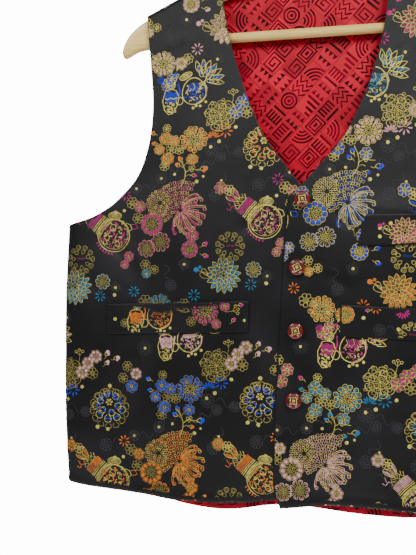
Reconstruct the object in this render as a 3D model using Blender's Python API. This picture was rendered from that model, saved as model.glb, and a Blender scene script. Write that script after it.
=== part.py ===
# A brocade waistcoat hanging on a wooden hanger.
#
# World frame: metres, +Z up, +X towards the wearer's left, the front of the garment towards -Y.
# The origin is the point inside the steel hook where a rail carries it.
#
# The garment is drawn in millimetres in its own frame: x from the centre front line, z from the
# neck point, where the shoulder seam ends at the neck. A flattened pillow, the core, fills the
# space inside it. Every panel is a patch of the core, moved out along the core's normals.

from collections import namedtuple
from math import cos, pi, radians, sin, tan

import bmesh
import bpy
import numpy as np
from mathutils import Vector

MM = 0.001

# Cloth
CLOTH = 1.6                 # shell fabric with its interlining
LINING = 1.0                # lining fabric
SEAM_GAP = 0.3              # between pieces that are sewn together
LAP_GAP = 0.5               # between the two fronts where one laps over the other

# Hanger
HANGER_TILT = radians(2.7)  # the hanger's right end is higher
HANGER_THICK = 12.0
HANGER_EASE = 0.6           # between the wood and the lining over it
WOOD_TOP = -62.0            # middle of the hanger's upper edge, below the bearing point
WOOD_EDGE = 5.4             # radius of the arms' rounded edges
ARC_STEPS = 3               # facets round each edge of an arm
BAR_DIAMETER = 11.0
BAR_HALF = 159.6            # half the bar's length
BAR_BEVEL = 0.6
BAR_DROP = 79.3             # bar's axis below the middle of the hanger's upper edge
HOOK_WIRE = 3.6
HOOK_INNER = 20.0           # inner radius of the hook's round
HOOK_START = radians(-50)   # where the shank runs into the round
HOOK_END = radians(196)     # the hook's tip
SHANK = 11.0                # straight stretch above the wood
SHANK_BEND = 8.0            # how far the shank keeps its heading at each end of its bend

# Garment
NECK_POINT_Z = -71.8        # neck point below the bearing point
CENTRE_X = 5.5              # centre front line beside the bearing point
NECK_HALF = 95.0            # half the width between the two neck points
SHOULDER_HALF = 177.7       # half the width between the two shoulder tips
SHOULDER_SLOPE = radians(25.0)
BACK_NECK_DROP = 15.0
SIDE_ROUND = 30.0           # how far in from the side seam the walls curve
TILT_FULL = -70.0           # above this height the garment turns with the hanger
TILT_NONE = -284.0          # below this height it hangs straight
BUTTON_DIAMETER = 17.5
BUTTON_THICK = 4.6
BUTTON_STAND = 1.2          # length of the button's shank
LAP_FULL = 22.0             # the upper front stands off as far as this beyond the centre line
LAP_NONE = 44.0
WELT_THICK = 1.4
WELT_GAP = 0.8              # between a welt and the front it lies on


def table(columns, *rows):
    row = namedtuple("Row", columns)
    return [row(*values) for values in rows]


# Half depth of the core at each height.
CORE_DEPTH = table(
    "up half",
    (-600, 8.0),
    (-420, 11.4),
    (-284, 12.0),
    (-120, 8.6),
    (0, HANGER_THICK / 2 + HANGER_EASE),
)

# Outlines, the same on both sides of the body.
NECK_EDGE = table(
    "out up",
    (-12, -249.5), (5, -232), (20, -214), (37, -193), (51.5, -168), (70.5, -120), (85, -66), (95, 0),
)
ARMHOLE = table(
    "out up",
    (264.3, -284), (236, -276), (214, -263.5), (199, -249.5), (185, -231), (177, -210),
    (171.5, -178), (170.3, -140), (173.5, -95), (177.7, -38.6),
)
SIDE_SEAM = table("out up", (257.4, -576), (262.7, -502), (265, -427), (266, -362), (264.3, -284))

# The front edges: the wearer's left front laps over the other.
UPPER_FRONT_EDGE = table(
    "out up",
    (-13.5, -589.5), (-19.5, -564), (-21, -500), (-18.5, -420), (-15.5, -320), (-12, -249.5),
)
UNDER_FRONT_EDGE = table("out up", (-15, -578), (-16, -500), (-15, -400), (-12, -249.5))

# Hems.
UPPER_FRONT_HEM = table(
    "out up",
    (-13.5, -589.5), (11, -586), (25, -583.5), (51, -582.7), (92, -583.2), (131, -585),
    (175, -584.5), (225, -580), (257.4, -576),
)
UNDER_FRONT_HEM = table(
    "out up",
    (-15, -578), (18, -580.6), (47, -585), (77, -588), (106, -588.5), (134, -588), (160, -584.5),
    (189, -582), (230, -579), (257.4, -576),
)
BACK_HEM = table(
    "x up",
    (-257.4, -576), (-205, -584), (-156, -589), (-125, -596), (-90, -600), (-60, -598), (-30, -592.3),
    (0, -589.6), (30, -591.8), (60, -594.2), (100, -595.8), (135, -594.5), (190, -588), (257.4, -576),
)

# Soft folds of the hanging cloth: a ridge from its top to its bottom, with its width and height.
FRONT_FOLDS = table(
    "x_top up_top x_end up_end width height",
    (-205, -300, -150, -560, 44, 1.8),
    (-118, -130, -132, -330, 36, 1.4),
    (-86, -440, -70, -575, 36, 1.8),
    (205, -300, 160, -560, 44, 1.8),
    (120, -130, 128, -255, 36, 1.4),
    (92, -440, 84, -575, 36, 1.8),
)
BACK_FOLDS = table(
    "x_top up_top x_end up_end width height",
    (-150, -230, -96, -570, 36, 2.6),
    (-30, -120, -22, -560, 34, 1.6),
    (150, -230, 100, -570, 36, 2.6),
    (48, -200, 40, -570, 30, 1.6),
)

# Pocket welts: lower inner corner, length, height, slope, slant of the ends, how far the mouth gapes.
# "side" is +1 on the wearer's left and -1 on the wearer's right.
WELTS = table(
    "name side inner up length height slope slant gape",
    ("welt_lower_right", -1, 52.5, -398.5, 160, 34, -2.8, 0, 2.4),
    ("welt_lower_left", 1, 46.5, -399.5, 160, 34, -1.0, 0, 1.6),
    ("welt_breast", 1, 62.5, -302.5, 97, 34, 2.5, 14, 0.8),
)

BUTTONS = table(
    "name x up turn",
    ("button_1", 2.5, -253.0, 8),
    ("button_2", -0.8, -326.8, 32),
    ("button_3", -0.8, -395.3, 12),
    ("button_4", -1.0, -470.6, 0),
)

# The hanger's arm: distance from the middle, upper edge and lower edge below the wood's top.
ARM = table(
    "out top bottom",
    (0, 0.0, -25.0),
    (22, -1.0, -25.6),
    (45, -4.2, -27.5),
    (70, -8.9, -31.5),
    (95, None, -38.5),
    (115, None, -45.5),
    (135, None, -53.5),
    (152, None, -61.0),
    (159.5, None, -64.5),
    (160.5, None, -83.0),
    (168, None, -86.0),
    (177.7, None, -86.4),
    (187, -57.8, -87.2),
    (195, -64.0, -90.8),
    (201, -70.6, -94.6),
    (205, -77.6, -95.4),
    (207, -84.6, -92.6),
)

# Mesh density
LOW_ROWS = 12
HIGH_ROWS = 12
ROW_GROWTH = 1.4            # how fast rows widen up from the underarm and the foot of the V
ROUND_STEPS = 5             # rows and columns across a rounded seam
FRONT_COLUMNS = 15
BACK_SHOULDER_COLUMNS = 3
WELT_COLUMNS = 13
WELT_LEVELS = 4
BUTTON_SIDES = 16
BAR_SIDES = 20
HOOK_STEPS = 26             # points round the hook
NECK_ANGLES = (1.6, 6, 13, 24, 40, 60, 90)     # round the back neck from the neck point
TINY = 0.02                 # step for slopes of the core
END_REACH = 8               # power that keeps an end's shift close to that end
FINE = 24                   # points between two rows of a table when a curve is drawn through them

CLOTH_BLACK = (0.018, 0.017, 0.020)
LINING_RED = (0.62, 0.012, 0.040)
BUTTON_RED = (0.16, 0.010, 0.012)
PALE_WOOD = (0.62, 0.47, 0.29)
STEEL = (0.62, 0.62, 0.64)


def material(name, colour, roughness, metallic=0.0):
    made = bpy.data.materials.new(name)
    made.use_nodes = True
    shader = made.node_tree.nodes["Principled BSDF"]
    shader.inputs["Base Color"].default_value = (*colour, 1.0)
    shader.inputs["Roughness"].default_value = roughness
    shader.inputs["Metallic"].default_value = metallic
    made.diffuse_color = (*colour, 1.0)
    return made


def solid(name, points, faces, finish, crease=radians(35)):
    # One closed mesh object, points in metres, with its faces turned outwards.
    mesh = bpy.data.meshes.new(name)
    mesh.from_pydata([tuple(point) for point in points], [], faces)
    work = bmesh.new()
    work.from_mesh(mesh)
    if work.calc_volume(signed=True) < 0:
        bmesh.ops.reverse_faces(work, faces=work.faces)
        work.to_mesh(mesh)
    work.free()
    mesh.update()
    mesh.shade_smooth()
    mesh.set_sharp_from_angle(angle=crease)
    mesh.materials.append(finish)
    bpy.context.collection.objects.link(bpy.data.objects.new(name, mesh))


def drawn_through(rows):
    # A smooth curve through the rows of an outline table, as many close points.
    points = np.array([(row[0], row[1]) for row in rows], float)
    padded = np.vstack([2 * points[0] - points[1], points, 2 * points[-1] - points[-2]])
    curve = []
    for index in range(len(points) - 1):
        before, start, end, after = padded[index:index + 4]
        for step in range(FINE):
            u = step / FINE
            curve.append(0.5 * (2 * start + (end - before) * u
                                + (2 * before - 5 * start + 4 * end - after) * u ** 2
                                + (3 * start - before - 3 * end + after) * u ** 3))
    curve.append(points[-1])
    return np.array(curve)


def along(curve, fractions):
    # Points of a curve at fractions of its length.
    steps = np.linalg.norm(np.diff(curve, axis=0), axis=1)
    run = np.concatenate([[0.0], np.cumsum(steps)])
    wanted = np.asarray(fractions) * run[-1]
    return np.stack([np.interp(wanted, run, curve[:, axis]) for axis in (0, 1)], axis=1)


def height_of(rows):
    # An outline table that runs from left to right, as a function of x.
    curve = drawn_through(rows)
    return lambda x: np.interp(x, curve[:, 0], curve[:, 1])


def smooth(value):
    held = np.clip(value, 0.0, 1.0)
    return held * held * (3.0 - 2.0 * held)


def quarter(value):
    # A quarter circle that rises from 0 to 1.
    held = np.clip(value, 0.0, 1.0)
    return np.sqrt(1.0 - (1.0 - held) ** 2)


def rounded_steps(radius):
    # Distances from a seam that climb a quarter circle in even steps.
    angles = np.linspace(0.0, pi / 2, ROUND_STEPS + 1)
    return radius * (1.0 - np.cos(angles))


def distance_to_shoulder(out, z):
    tip, neck = SHOULDER_LINE
    run = neck - tip
    share = np.clip(((out - tip[0]) * run[0] + (z - tip[1]) * run[1]) / (run @ run), 0.0, 1.0)
    return np.hypot(out - tip[0] - share * run[0], z - tip[1] - share * run[1])


def distance_to_side(out, z):
    # Level distance in from the side seam, and above the underarm the distance to its corner.
    underarm = SEAM_LINE[-1]
    seam_out = np.interp(z, SEAM_LINE[:, 1], SEAM_LINE[:, 0])
    return np.where(z < underarm[1], np.maximum(seam_out - out, 0.0),
                    np.hypot(out - underarm[0], z - underarm[1]))


SHOULDER_DROP = (SHOULDER_HALF - NECK_HALF) * tan(SHOULDER_SLOPE)
OUTER_BUILD = LINING + SEAM_GAP + CLOTH     # from the core to the outside of the shell

CORE_CURVE = drawn_through(CORE_DEPTH)

# The seams as the core has them, inside the outer outline by the depth of the cloth.
SEAM_LINE = drawn_through(SIDE_SEAM) - np.array([OUTER_BUILD, 0.0])
SHOULDER_NORMAL = np.array([sin(SHOULDER_SLOPE), cos(SHOULDER_SLOPE)])
SHOULDER_LINE = np.array([(SHOULDER_HALF, -SHOULDER_DROP), (NECK_HALF, 0.0)]) - OUTER_BUILD * SHOULDER_NORMAL


def fold_relief(folds, x, z):
    # Height of the soft folds at a point of a panel.
    relief = np.zeros(np.shape(x))
    for fold in folds:
        share = (z - fold.up_top) / (fold.up_end - fold.up_top)
        middle = fold.x_top + (fold.x_end - fold.x_top) * share
        fade = smooth(share / 0.3) * smooth((1.25 - share) / 0.45)
        relief += fold.height * fade * np.exp(-((x - middle) / (0.5 * fold.width)) ** 2)
    return relief


def core_depth(x, z, folds):
    out = np.abs(x)
    half = np.interp(z, CORE_CURVE[:, 0], CORE_CURVE[:, 1])
    side = quarter(distance_to_side(out, z) / SIDE_ROUND)
    shoulder = quarter(distance_to_shoulder(out, z) / (HANGER_THICK / 2 + HANGER_EASE))
    return SEAM_GAP / 2 + (half + fold_relief(folds, x, z) * side) * side * shoulder


def placed(x, y, z):
    # From the garment's frame to the world: near the shoulders it turns with the hanger.
    turned_x = x * cos(HANGER_TILT) - (z + NECK_POINT_Z) * sin(HANGER_TILT)
    turned_z = x * sin(HANGER_TILT) + (z + NECK_POINT_Z) * cos(HANGER_TILT)
    share = smooth((z - TILT_NONE) / (TILT_FULL - TILT_NONE))
    world_x = share * turned_x + (1 - share) * (x + CENTRE_X)
    world_z = share * turned_z + (1 - share) * (z + NECK_POINT_Z)
    return np.stack([world_x, y, world_z], axis=-1)


def core_patch(x, z, facing, folds):
    # Points of the core's front (facing -1) or back (facing 1), and their outward unit normals.
    def surface(at_x, at_z):
        return placed(at_x, facing * core_depth(at_x, at_z, folds), at_z)

    points = surface(x, z)
    inwards = surface(x - np.where(x < 0, -TINY, TINY), z) - points
    down = surface(x, z - TINY) - points
    normal = np.cross(inwards, down) * np.where(x < 0, facing, -facing)[..., None]
    normal /= np.linalg.norm(normal, axis=-1, keepdims=True)
    return points, normal


def level_at_seams(normal, seam_cells):
    # Where two walls meet in a seam their normals lie in the plane of the garment.
    for cells in seam_cells:
        level = normal[cells]
        level[..., 1] = 0.0
        normal[cells] = level / np.linalg.norm(level, axis=-1, keepdims=True)


def wall(name, points, normal, near, far, finish):
    # A closed wall between two copies of a grid, moved out by near and by far.
    rows, columns = points.shape[:2]
    inner = points + normal * np.asarray(near)[..., None]
    outer = points + normal * np.asarray(far)[..., None]
    corners = np.concatenate([inner.reshape(-1, 3), outer.reshape(-1, 3)]) * MM
    count = rows * columns

    def at(row, column, layer):
        return layer * count + row * columns + column

    faces = []
    for row in range(rows - 1):
        for column in range(columns - 1):
            a, b = at(row, column, 0), at(row, column + 1, 0)
            c, d = at(row + 1, column + 1, 0), at(row + 1, column, 0)
            faces += [(a, b, c), (a, c, d)]
            faces += [(c + count, b + count, a + count), (d + count, c + count, a + count)]
    rim = [(0, column) for column in range(columns)]
    rim += [(row, columns - 1) for row in range(1, rows)]
    rim += [(rows - 1, column) for column in range(columns - 2, -1, -1)]
    rim += [(row, 0) for row in range(rows - 2, 0, -1)]
    for first, second in zip(rim, rim[1:] + rim[:1]):
        faces.append((at(*second, 0), at(*first, 0), at(*first, 1), at(*second, 1)))
    solid(name, corners, faces, finish)


def row_fractions(length):
    # Rows that widen up from the corner, then rows that follow the shoulder's round.
    round_rows = rounded_steps((HANGER_THICK / 2 + HANGER_EASE) / cos(SHOULDER_SLOPE)) / length
    spread = (1.0 - round_rows[-1]) * np.linspace(0.0, 1.0, HIGH_ROWS + 1) ** ROW_GROWTH
    return np.concatenate([spread, 1.0 - round_rows[-2::-1]])


def edge_rows(lower, upper):
    # An edge from the hem to its corner and on to the shoulder, one point for each row.
    low = along(lower, np.linspace(0.0, 1.0, LOW_ROWS + 1))
    length = np.linalg.norm(np.diff(upper, axis=0), axis=1).sum()
    return np.vstack([low, along(upper, row_fractions(length))[1:]])


def hem_pull(rows):
    # How strongly each row follows the hem's line.
    return np.clip(1.0 - np.arange(rows) / LOW_ROWS, 0.0, 1.0) ** 2


def top_pull(heights):
    # How strongly each row follows the line of the shoulders and the back neck.
    underarm = heights[LOW_ROWS]
    return np.clip((heights - underarm) / (heights[-1] - underarm), 0.0, 1.0) ** 2


def bent_to(curve, first, last):
    # The same curve with its ends drawn over to the given points.
    share = np.linspace(0.0, 1.0, len(curve))[:, None]
    at_start = (1.0 - share) ** END_REACH
    at_end = share ** END_REACH
    return curve + (first - curve[0]) * at_start + (last - curve[-1]) * at_end


def side_edge():
    return edge_rows(SEAM_LINE, bent_to(drawn_through(ARMHOLE), SEAM_LINE[-1], SHOULDER_LINE[0]))


def neck_and_front_edge(front_edge):
    lower = drawn_through(front_edge)
    return edge_rows(lower, bent_to(drawn_through(NECK_EDGE), lower[-1], SHOULDER_LINE[1]))


def front_panel(name, side, front_edge, hem, lap, finish):
    outer = side_edge()
    inner = neck_and_front_edge(front_edge)
    rows = len(outer)
    hem_line = height_of(hem)
    width = np.linalg.norm(inner - outer, axis=1)
    close = rounded_steps(SIDE_ROUND)
    rest = np.linspace(0.0, 1.0, FRONT_COLUMNS + 1)[1:]
    grid = np.zeros((rows, len(close) + FRONT_COLUMNS, 2))
    for row in range(rows):
        reach = np.concatenate([close, SIDE_ROUND + rest * (width[row] - SIDE_ROUND)]) / width[row]
        grid[row] = outer[row] + (inner[row] - outer[row]) * reach[:, None]
    ends = np.array([inner[0, 0], outer[0, 0]])
    curved = hem_line(grid[0, :, 0]) - np.interp(grid[0, :, 0], ends, hem_line(ends))
    grid[:, :, 1] += hem_pull(rows)[:, None] * curved
    x = side * grid[:, :, 0]
    z = grid[:, :, 1]
    points, normal = core_patch(x, z, -1, FRONT_FOLDS)
    level_at_seams(normal, [np.s_[:LOW_ROWS + 1, 0], np.s_[-1, :]])
    stand_off = lap * smooth((LAP_NONE - grid[:, :, 0]) / (LAP_NONE - LAP_FULL)) * smooth(-z / 120.0)
    near = LINING + SEAM_GAP + stand_off
    wall(name, points, normal, near, near + CLOTH, finish)


def back_top(shoulder_share):
    # Half of the back's top edge from the tip: the shoulder, then the neck as a quarter ellipse.
    tip, neck = SHOULDER_LINE
    shoulder = tip + (neck - tip) * shoulder_share[:, None]
    angles = np.radians(NECK_ANGLES)
    drop = BACK_NECK_DROP * np.sin(angles)
    return np.vstack([shoulder, np.stack([neck[0] * np.cos(angles), neck[1] - drop], axis=1)])


def back_grid():
    # The wearer's left half from the seam to the centre, then mirrored with the other half's hem.
    edge = side_edge()
    hem_line = height_of(BACK_HEM)
    close = rounded_steps(SIDE_ROUND)
    shoulder_width = SHOULDER_LINE[0, 0] - SHOULDER_LINE[1, 0]
    shoulder_reach = np.linspace(SIDE_ROUND, shoulder_width, BACK_SHOULDER_COLUMNS + 1)[1:]
    shoulder_reach = np.concatenate([close, shoulder_reach])
    top = back_top(shoulder_reach / shoulder_width)
    share = np.linspace(0.0, 1.0, len(top) - len(close) + 1)[1:]
    even = SIDE_ROUND + share * (edge[:, :1] - SIDE_ROUND)
    out = edge[:, :1] - np.concatenate([np.tile(close, (len(edge), 1)), even], axis=1)
    pull = top_pull(edge[:, 1])[:, None]
    out += pull * (top[:, 0] - out[-1])
    up = edge[:, 1:] + pull * (top[:, 1] - edge[-1, 1])
    seam_hem = hem_line(out[0, 0])
    left_up = up + hem_pull(len(edge))[:, None] * (hem_line(out[0]) - seam_hem)
    right_up = up + hem_pull(len(edge))[:, None] * (hem_line(-out[0]) - seam_hem)
    on_shoulder = np.arange(len(top)) < len(shoulder_reach)
    x = np.concatenate([-out, out[:, -2::-1]], axis=1)
    z = np.concatenate([right_up, left_up[:, -2::-1]], axis=1)
    return x, z, np.concatenate([on_shoulder, on_shoulder[-2::-1]])


def back_walls(cloth, lining):
    x, z, on_shoulder = back_grid()
    points, normal = core_patch(x, z, 1, BACK_FOLDS)
    level_at_seams(normal, [np.s_[:LOW_ROWS + 1, [0, -1]], (-1, np.flatnonzero(on_shoulder))])
    level = np.zeros(x.shape)
    wall("back_lining", points, normal, level, level + LINING, lining)
    wall("back", points, normal, level + LINING + SEAM_GAP, level + OUTER_BUILD, cloth)


def welt(row, finish):
    # A strip on a front panel: its grid runs from the inner end out and from the bottom up.
    u, v = np.meshgrid(np.linspace(0, 1, WELT_COLUMNS), np.linspace(0, 1, WELT_LEVELS))
    rise = row.length * tan(radians(row.slope))
    x = row.side * (row.inner + u * row.length + v * row.height * tan(radians(row.slant)))
    z = row.up + u * rise + v * row.height
    points, normal = core_patch(x, z, -1, FRONT_FOLDS)
    lift = row.gape * np.sin(pi * u) ** 2 * v ** 2
    near = OUTER_BUILD + WELT_GAP + lift
    wall(row.name, points, normal, near, near + WELT_THICK, finish)


def upper_front_at(x, z):
    # A point on the outside of the upper front, near the centre line.
    points, normal = core_patch(np.array([x]), np.array([z]), -1, FRONT_FOLDS)
    return points[0] + (OUTER_BUILD + CLOTH + LAP_GAP) * normal[0]


def button(row, finish):
    # A turned button with a raised rim, a sunk face and a short shank, axis along Y.
    radius = BUTTON_DIAMETER / 2
    profile = table(
        "r y",
        (0, 0), (1.9, 0), (1.9, BUTTON_STAND), (radius - 2.4, BUTTON_STAND),
        (radius - 0.3, BUTTON_STAND + 1.5), (radius, BUTTON_STAND + 2.6), (radius - 0.6, BUTTON_STAND + 3.9),
        (radius - 1.6, BUTTON_STAND + BUTTON_THICK), (radius - 2.8, BUTTON_STAND + 3.9),
        (radius - 3.5, BUTTON_STAND + 3.0), (0, BUTTON_STAND + 2.8),
    )
    seat = upper_front_at(row.x, row.up) - np.array([0.0, SEAM_GAP, 0.0])
    points = [seat]
    for level in profile[1:-1]:
        for side in range(BUTTON_SIDES):
            angle = 2 * pi * side / BUTTON_SIDES + radians(row.turn)
            points.append(seat + np.array([level.r * cos(angle), -level.y, level.r * sin(angle)]))
    points.append(seat + np.array([0.0, -profile[-1].y, 0.0]))
    rings = len(profile) - 2
    last_ring = 1 + (rings - 1) * BUTTON_SIDES
    faces = []
    for side in range(BUTTON_SIDES):
        following = (side + 1) % BUTTON_SIDES
        faces.append((0, 1 + side, 1 + following))
        faces.append((len(points) - 1, last_ring + following, last_ring + side))
        for ring in range(rings - 1):
            a = 1 + ring * BUTTON_SIDES
            b = a + BUTTON_SIDES
            faces.append((a + side, b + side, b + following, a + following))
    solid(row.name, np.array(points) * MM, faces, finish)


def tilted(x, y, z):
    # From the hanger's own frame to the world.
    return Vector((x * cos(HANGER_TILT) - z * sin(HANGER_TILT), y,
                   x * sin(HANGER_TILT) + z * cos(HANGER_TILT))) * MM


def arm_top(out):
    # Under the shoulder seams the wood follows the core, less the ease.
    inner = SHOULDER_LINE - HANGER_EASE * SHOULDER_NORMAL
    slope = (inner[0, 1] - inner[1, 1]) / (inner[0, 0] - inner[1, 0])
    return inner[1, 1] + slope * (out - inner[1, 0]) + NECK_POINT_Z - WOOD_TOP


def arm_section(top, bottom):
    # A rounded oblong across the arm, as pairs of depth and height.
    half = HANGER_THICK / 2
    edge = min(WOOD_EDGE, (top - bottom) / 2 - 0.2)
    corners = [(half - edge, top - edge, 0), (-half + edge, top - edge, 90),
               (-half + edge, bottom + edge, 180), (half - edge, bottom + edge, 270)]
    section = []
    for y, z, start in corners:
        for step in range(ARC_STEPS + 1):
            angle = radians(start + 90 * step / ARC_STEPS)
            section.append((y + edge * cos(angle), z + edge * sin(angle)))
    return section


def hanger_arms(finish):
    half = [(row.out, arm_top(row.out) if row.top is None else row.top, row.bottom) for row in ARM]
    stations = [(-out, top, bottom) for out, top, bottom in reversed(half[1:])] + half
    points = []
    for out, top, bottom in stations:
        for y, z in arm_section(WOOD_TOP + top, WOOD_TOP + bottom):
            points.append(tilted(out, y, z))
    ring = len(points) // len(stations)
    faces = [tuple(range(ring)), tuple(range(len(points) - 1, len(points) - ring - 1, -1))]
    for station in range(len(stations) - 1):
        for step in range(ring):
            a = station * ring + step
            b = station * ring + (step + 1) % ring
            faces.append((b, a, a + ring, b + ring))
    solid("hanger_arms", points, faces, finish)


def hanger_bar(finish):
    half = BAR_DIAMETER / 2
    profile = [(-BAR_HALF, half - BAR_BEVEL), (-BAR_HALF + BAR_BEVEL, half)]
    profile += [(-x, radius) for x, radius in reversed(profile)]
    points = []
    for x, radius in profile:
        for side in range(BAR_SIDES):
            angle = 2 * pi * side / BAR_SIDES
            points.append(tilted(x, radius * cos(angle), WOOD_TOP - BAR_DROP + radius * sin(angle)))
    faces = [tuple(range(BAR_SIDES)), tuple(range(len(points) - 1, len(points) - BAR_SIDES - 1, -1))]
    for ring in range(len(profile) - 1):
        for side in range(BAR_SIDES):
            a = ring * BAR_SIDES + side
            b = ring * BAR_SIDES + (side + 1) % BAR_SIDES
            faces.append((b, a, a + BAR_SIDES, b + BAR_SIDES))
    solid("hanger_bar", points, faces, finish)


def hook_route():
    # From the wood up the shank, round to the wearer's left, over the top and down to the tip.
    radius = HOOK_INNER + HOOK_WIRE / 2

    def round_at(angle):
        return np.array([radius * cos(angle), -HOOK_INNER + radius * sin(angle)])

    foot = np.array([0.0, WOOD_TOP + SHANK])
    start = round_at(HOOK_START)
    heading = np.array([-sin(HOOK_START), cos(HOOK_START)])
    handles = [foot, foot + np.array([0.0, SHANK_BEND]), start - SHANK_BEND * heading, start]
    route = [np.array([0.0, WOOD_TOP + SEAM_GAP]), np.array([0.0, WOOD_TOP + SHANK / 2])]
    for u in np.linspace(0.0, 1.0, 9):
        weights = ((1 - u) ** 3, 3 * u * (1 - u) ** 2, 3 * u ** 2 * (1 - u), u ** 3)
        route.append(sum(weight * handle for weight, handle in zip(weights, handles)))
    route += [round_at(angle) for angle in np.linspace(HOOK_START, HOOK_END, HOOK_STEPS + 1)[1:]]
    return route


def hanger_hook(finish):
    route = hook_route()
    curve = bpy.data.curves.new("hanger_hook", "CURVE")
    curve.dimensions = "3D"
    curve.bevel_depth = HOOK_WIRE / 2 * MM
    curve.bevel_resolution = 2
    curve.use_fill_caps = True
    spline = curve.splines.new("POLY")
    spline.points.add(len(route) - 1)
    for point, (x, z) in zip(spline.points, route):
        point.co = (*tilted(x, 0.0, z), 1.0)
    curve.materials.append(finish)
    made = bpy.data.objects.new("hanger_hook", curve)
    bpy.context.collection.objects.link(made)


def main():
    for old in list(bpy.data.objects):
        bpy.data.objects.remove(old, do_unlink=True)
    cloth = material("black_brocade", CLOTH_BLACK, 0.45)
    lining = material("red_lining", LINING_RED, 0.4)
    shell = material("dark_red_button", BUTTON_RED, 0.15)
    wood = material("pale_wood", PALE_WOOD, 0.5)
    steel = material("bright_steel", STEEL, 0.25, 1.0)
    front_panel("front_right", -1, UNDER_FRONT_EDGE, UNDER_FRONT_HEM, 0.0, cloth)
    front_panel("front_left", 1, UPPER_FRONT_EDGE, UPPER_FRONT_HEM, CLOTH + LAP_GAP, cloth)
    back_walls(cloth, lining)
    for row in WELTS:
        welt(row, cloth)
    for row in BUTTONS:
        button(row, shell)
    hanger_arms(wood)
    hanger_bar(wood)
    hanger_hook(steel)


main()
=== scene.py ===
from math import cos, hypot, pi, radians, sin, tan

import bmesh
import bpy
import numpy as np
from mathutils import Matrix, Vector


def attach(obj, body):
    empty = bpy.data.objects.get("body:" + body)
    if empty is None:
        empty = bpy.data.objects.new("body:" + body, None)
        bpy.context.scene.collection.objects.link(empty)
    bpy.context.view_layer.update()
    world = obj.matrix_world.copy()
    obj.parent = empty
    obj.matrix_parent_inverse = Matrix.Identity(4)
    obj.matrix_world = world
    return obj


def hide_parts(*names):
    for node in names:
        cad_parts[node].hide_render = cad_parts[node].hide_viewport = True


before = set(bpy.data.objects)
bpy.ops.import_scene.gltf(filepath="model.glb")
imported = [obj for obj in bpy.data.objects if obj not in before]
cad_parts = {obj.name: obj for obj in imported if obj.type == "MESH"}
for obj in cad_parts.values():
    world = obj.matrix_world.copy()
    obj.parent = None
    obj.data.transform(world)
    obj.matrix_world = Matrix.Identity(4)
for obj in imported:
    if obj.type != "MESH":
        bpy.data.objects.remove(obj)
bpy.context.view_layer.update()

mm = 0.001

# Everything on the garment is worked out in millimetres in its own frame, x from the centre front
# line and z up from the neck point, and put in its place by hung().
garment = {
    "cloth": 1.6, "lining": 1.0, "seamGap": 0.3, "lapGap": 0.5,
    "hangerTilt": radians(2.7), "hangerThick": 12.0, "hangerEase": 0.6,
    "neckPointZ": -71.8, "centreX": 5.5, "neckHalf": 95.0, "shoulderHalf": 177.7,
    "shoulderSlope": radians(25.0), "backNeckDrop": 15.0, "sideRound": 30.0,
    "tiltFull": -70.0, "tiltNone": -284.0, "lapFull": 22.0, "lapNone": 44.0,
}
outerBuild = garment["lining"] + garment["seamGap"] + garment["cloth"]

coreHalf = [(-600, 8.0), (-420, 11.4), (-284, 12.0), (-120, 8.6), (0, 6.6)]  # half the depth at each height

# Outlines, (out, up), the same on both sides of the body but for the hems
neckLine = [(-12, -249.5), (5, -232), (20, -214), (37, -193), (51.5, -168), (70.5, -120), (85, -66), (95, 0)]
armholeLine = [(264.3, -284), (236, -276), (214, -263.5), (199, -249.5), (185, -231), (177, -210),
               (171.5, -178), (170.3, -140), (173.5, -95), (177.7, -38.6)]
sideLine = [(257.4, -576), (262.7, -502), (265, -427), (266, -362), (264.3, -284)]
leftFrontEdge = [(-13.5, -589.5), (-19.5, -564), (-21, -500), (-18.5, -420), (-15.5, -320), (-12, -249.5)]
rightFrontEdge = [(-15, -578), (-16, -500), (-15, -400), (-12, -249.5)]
leftFrontHem = [(-13.5, -589.5), (11, -586), (25, -583.5), (51, -582.7), (92, -583.2), (131, -585),
                (175, -584.5), (225, -580), (257.4, -576)]
rightFrontHem = [(-15, -578), (18, -580.6), (47, -585), (77, -588), (106, -588.5), (134, -588),
                 (160, -584.5), (189, -582), (230, -579), (257.4, -576)]
backHem = [(-257.4, -576), (-205, -584), (-156, -589), (-125, -596), (-90, -600), (-60, -598),
           (-30, -592.3), (0, -589.6), (30, -591.8), (60, -594.2), (100, -595.8), (135, -594.5),
           (190, -588), (257.4, -576)]

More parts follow.
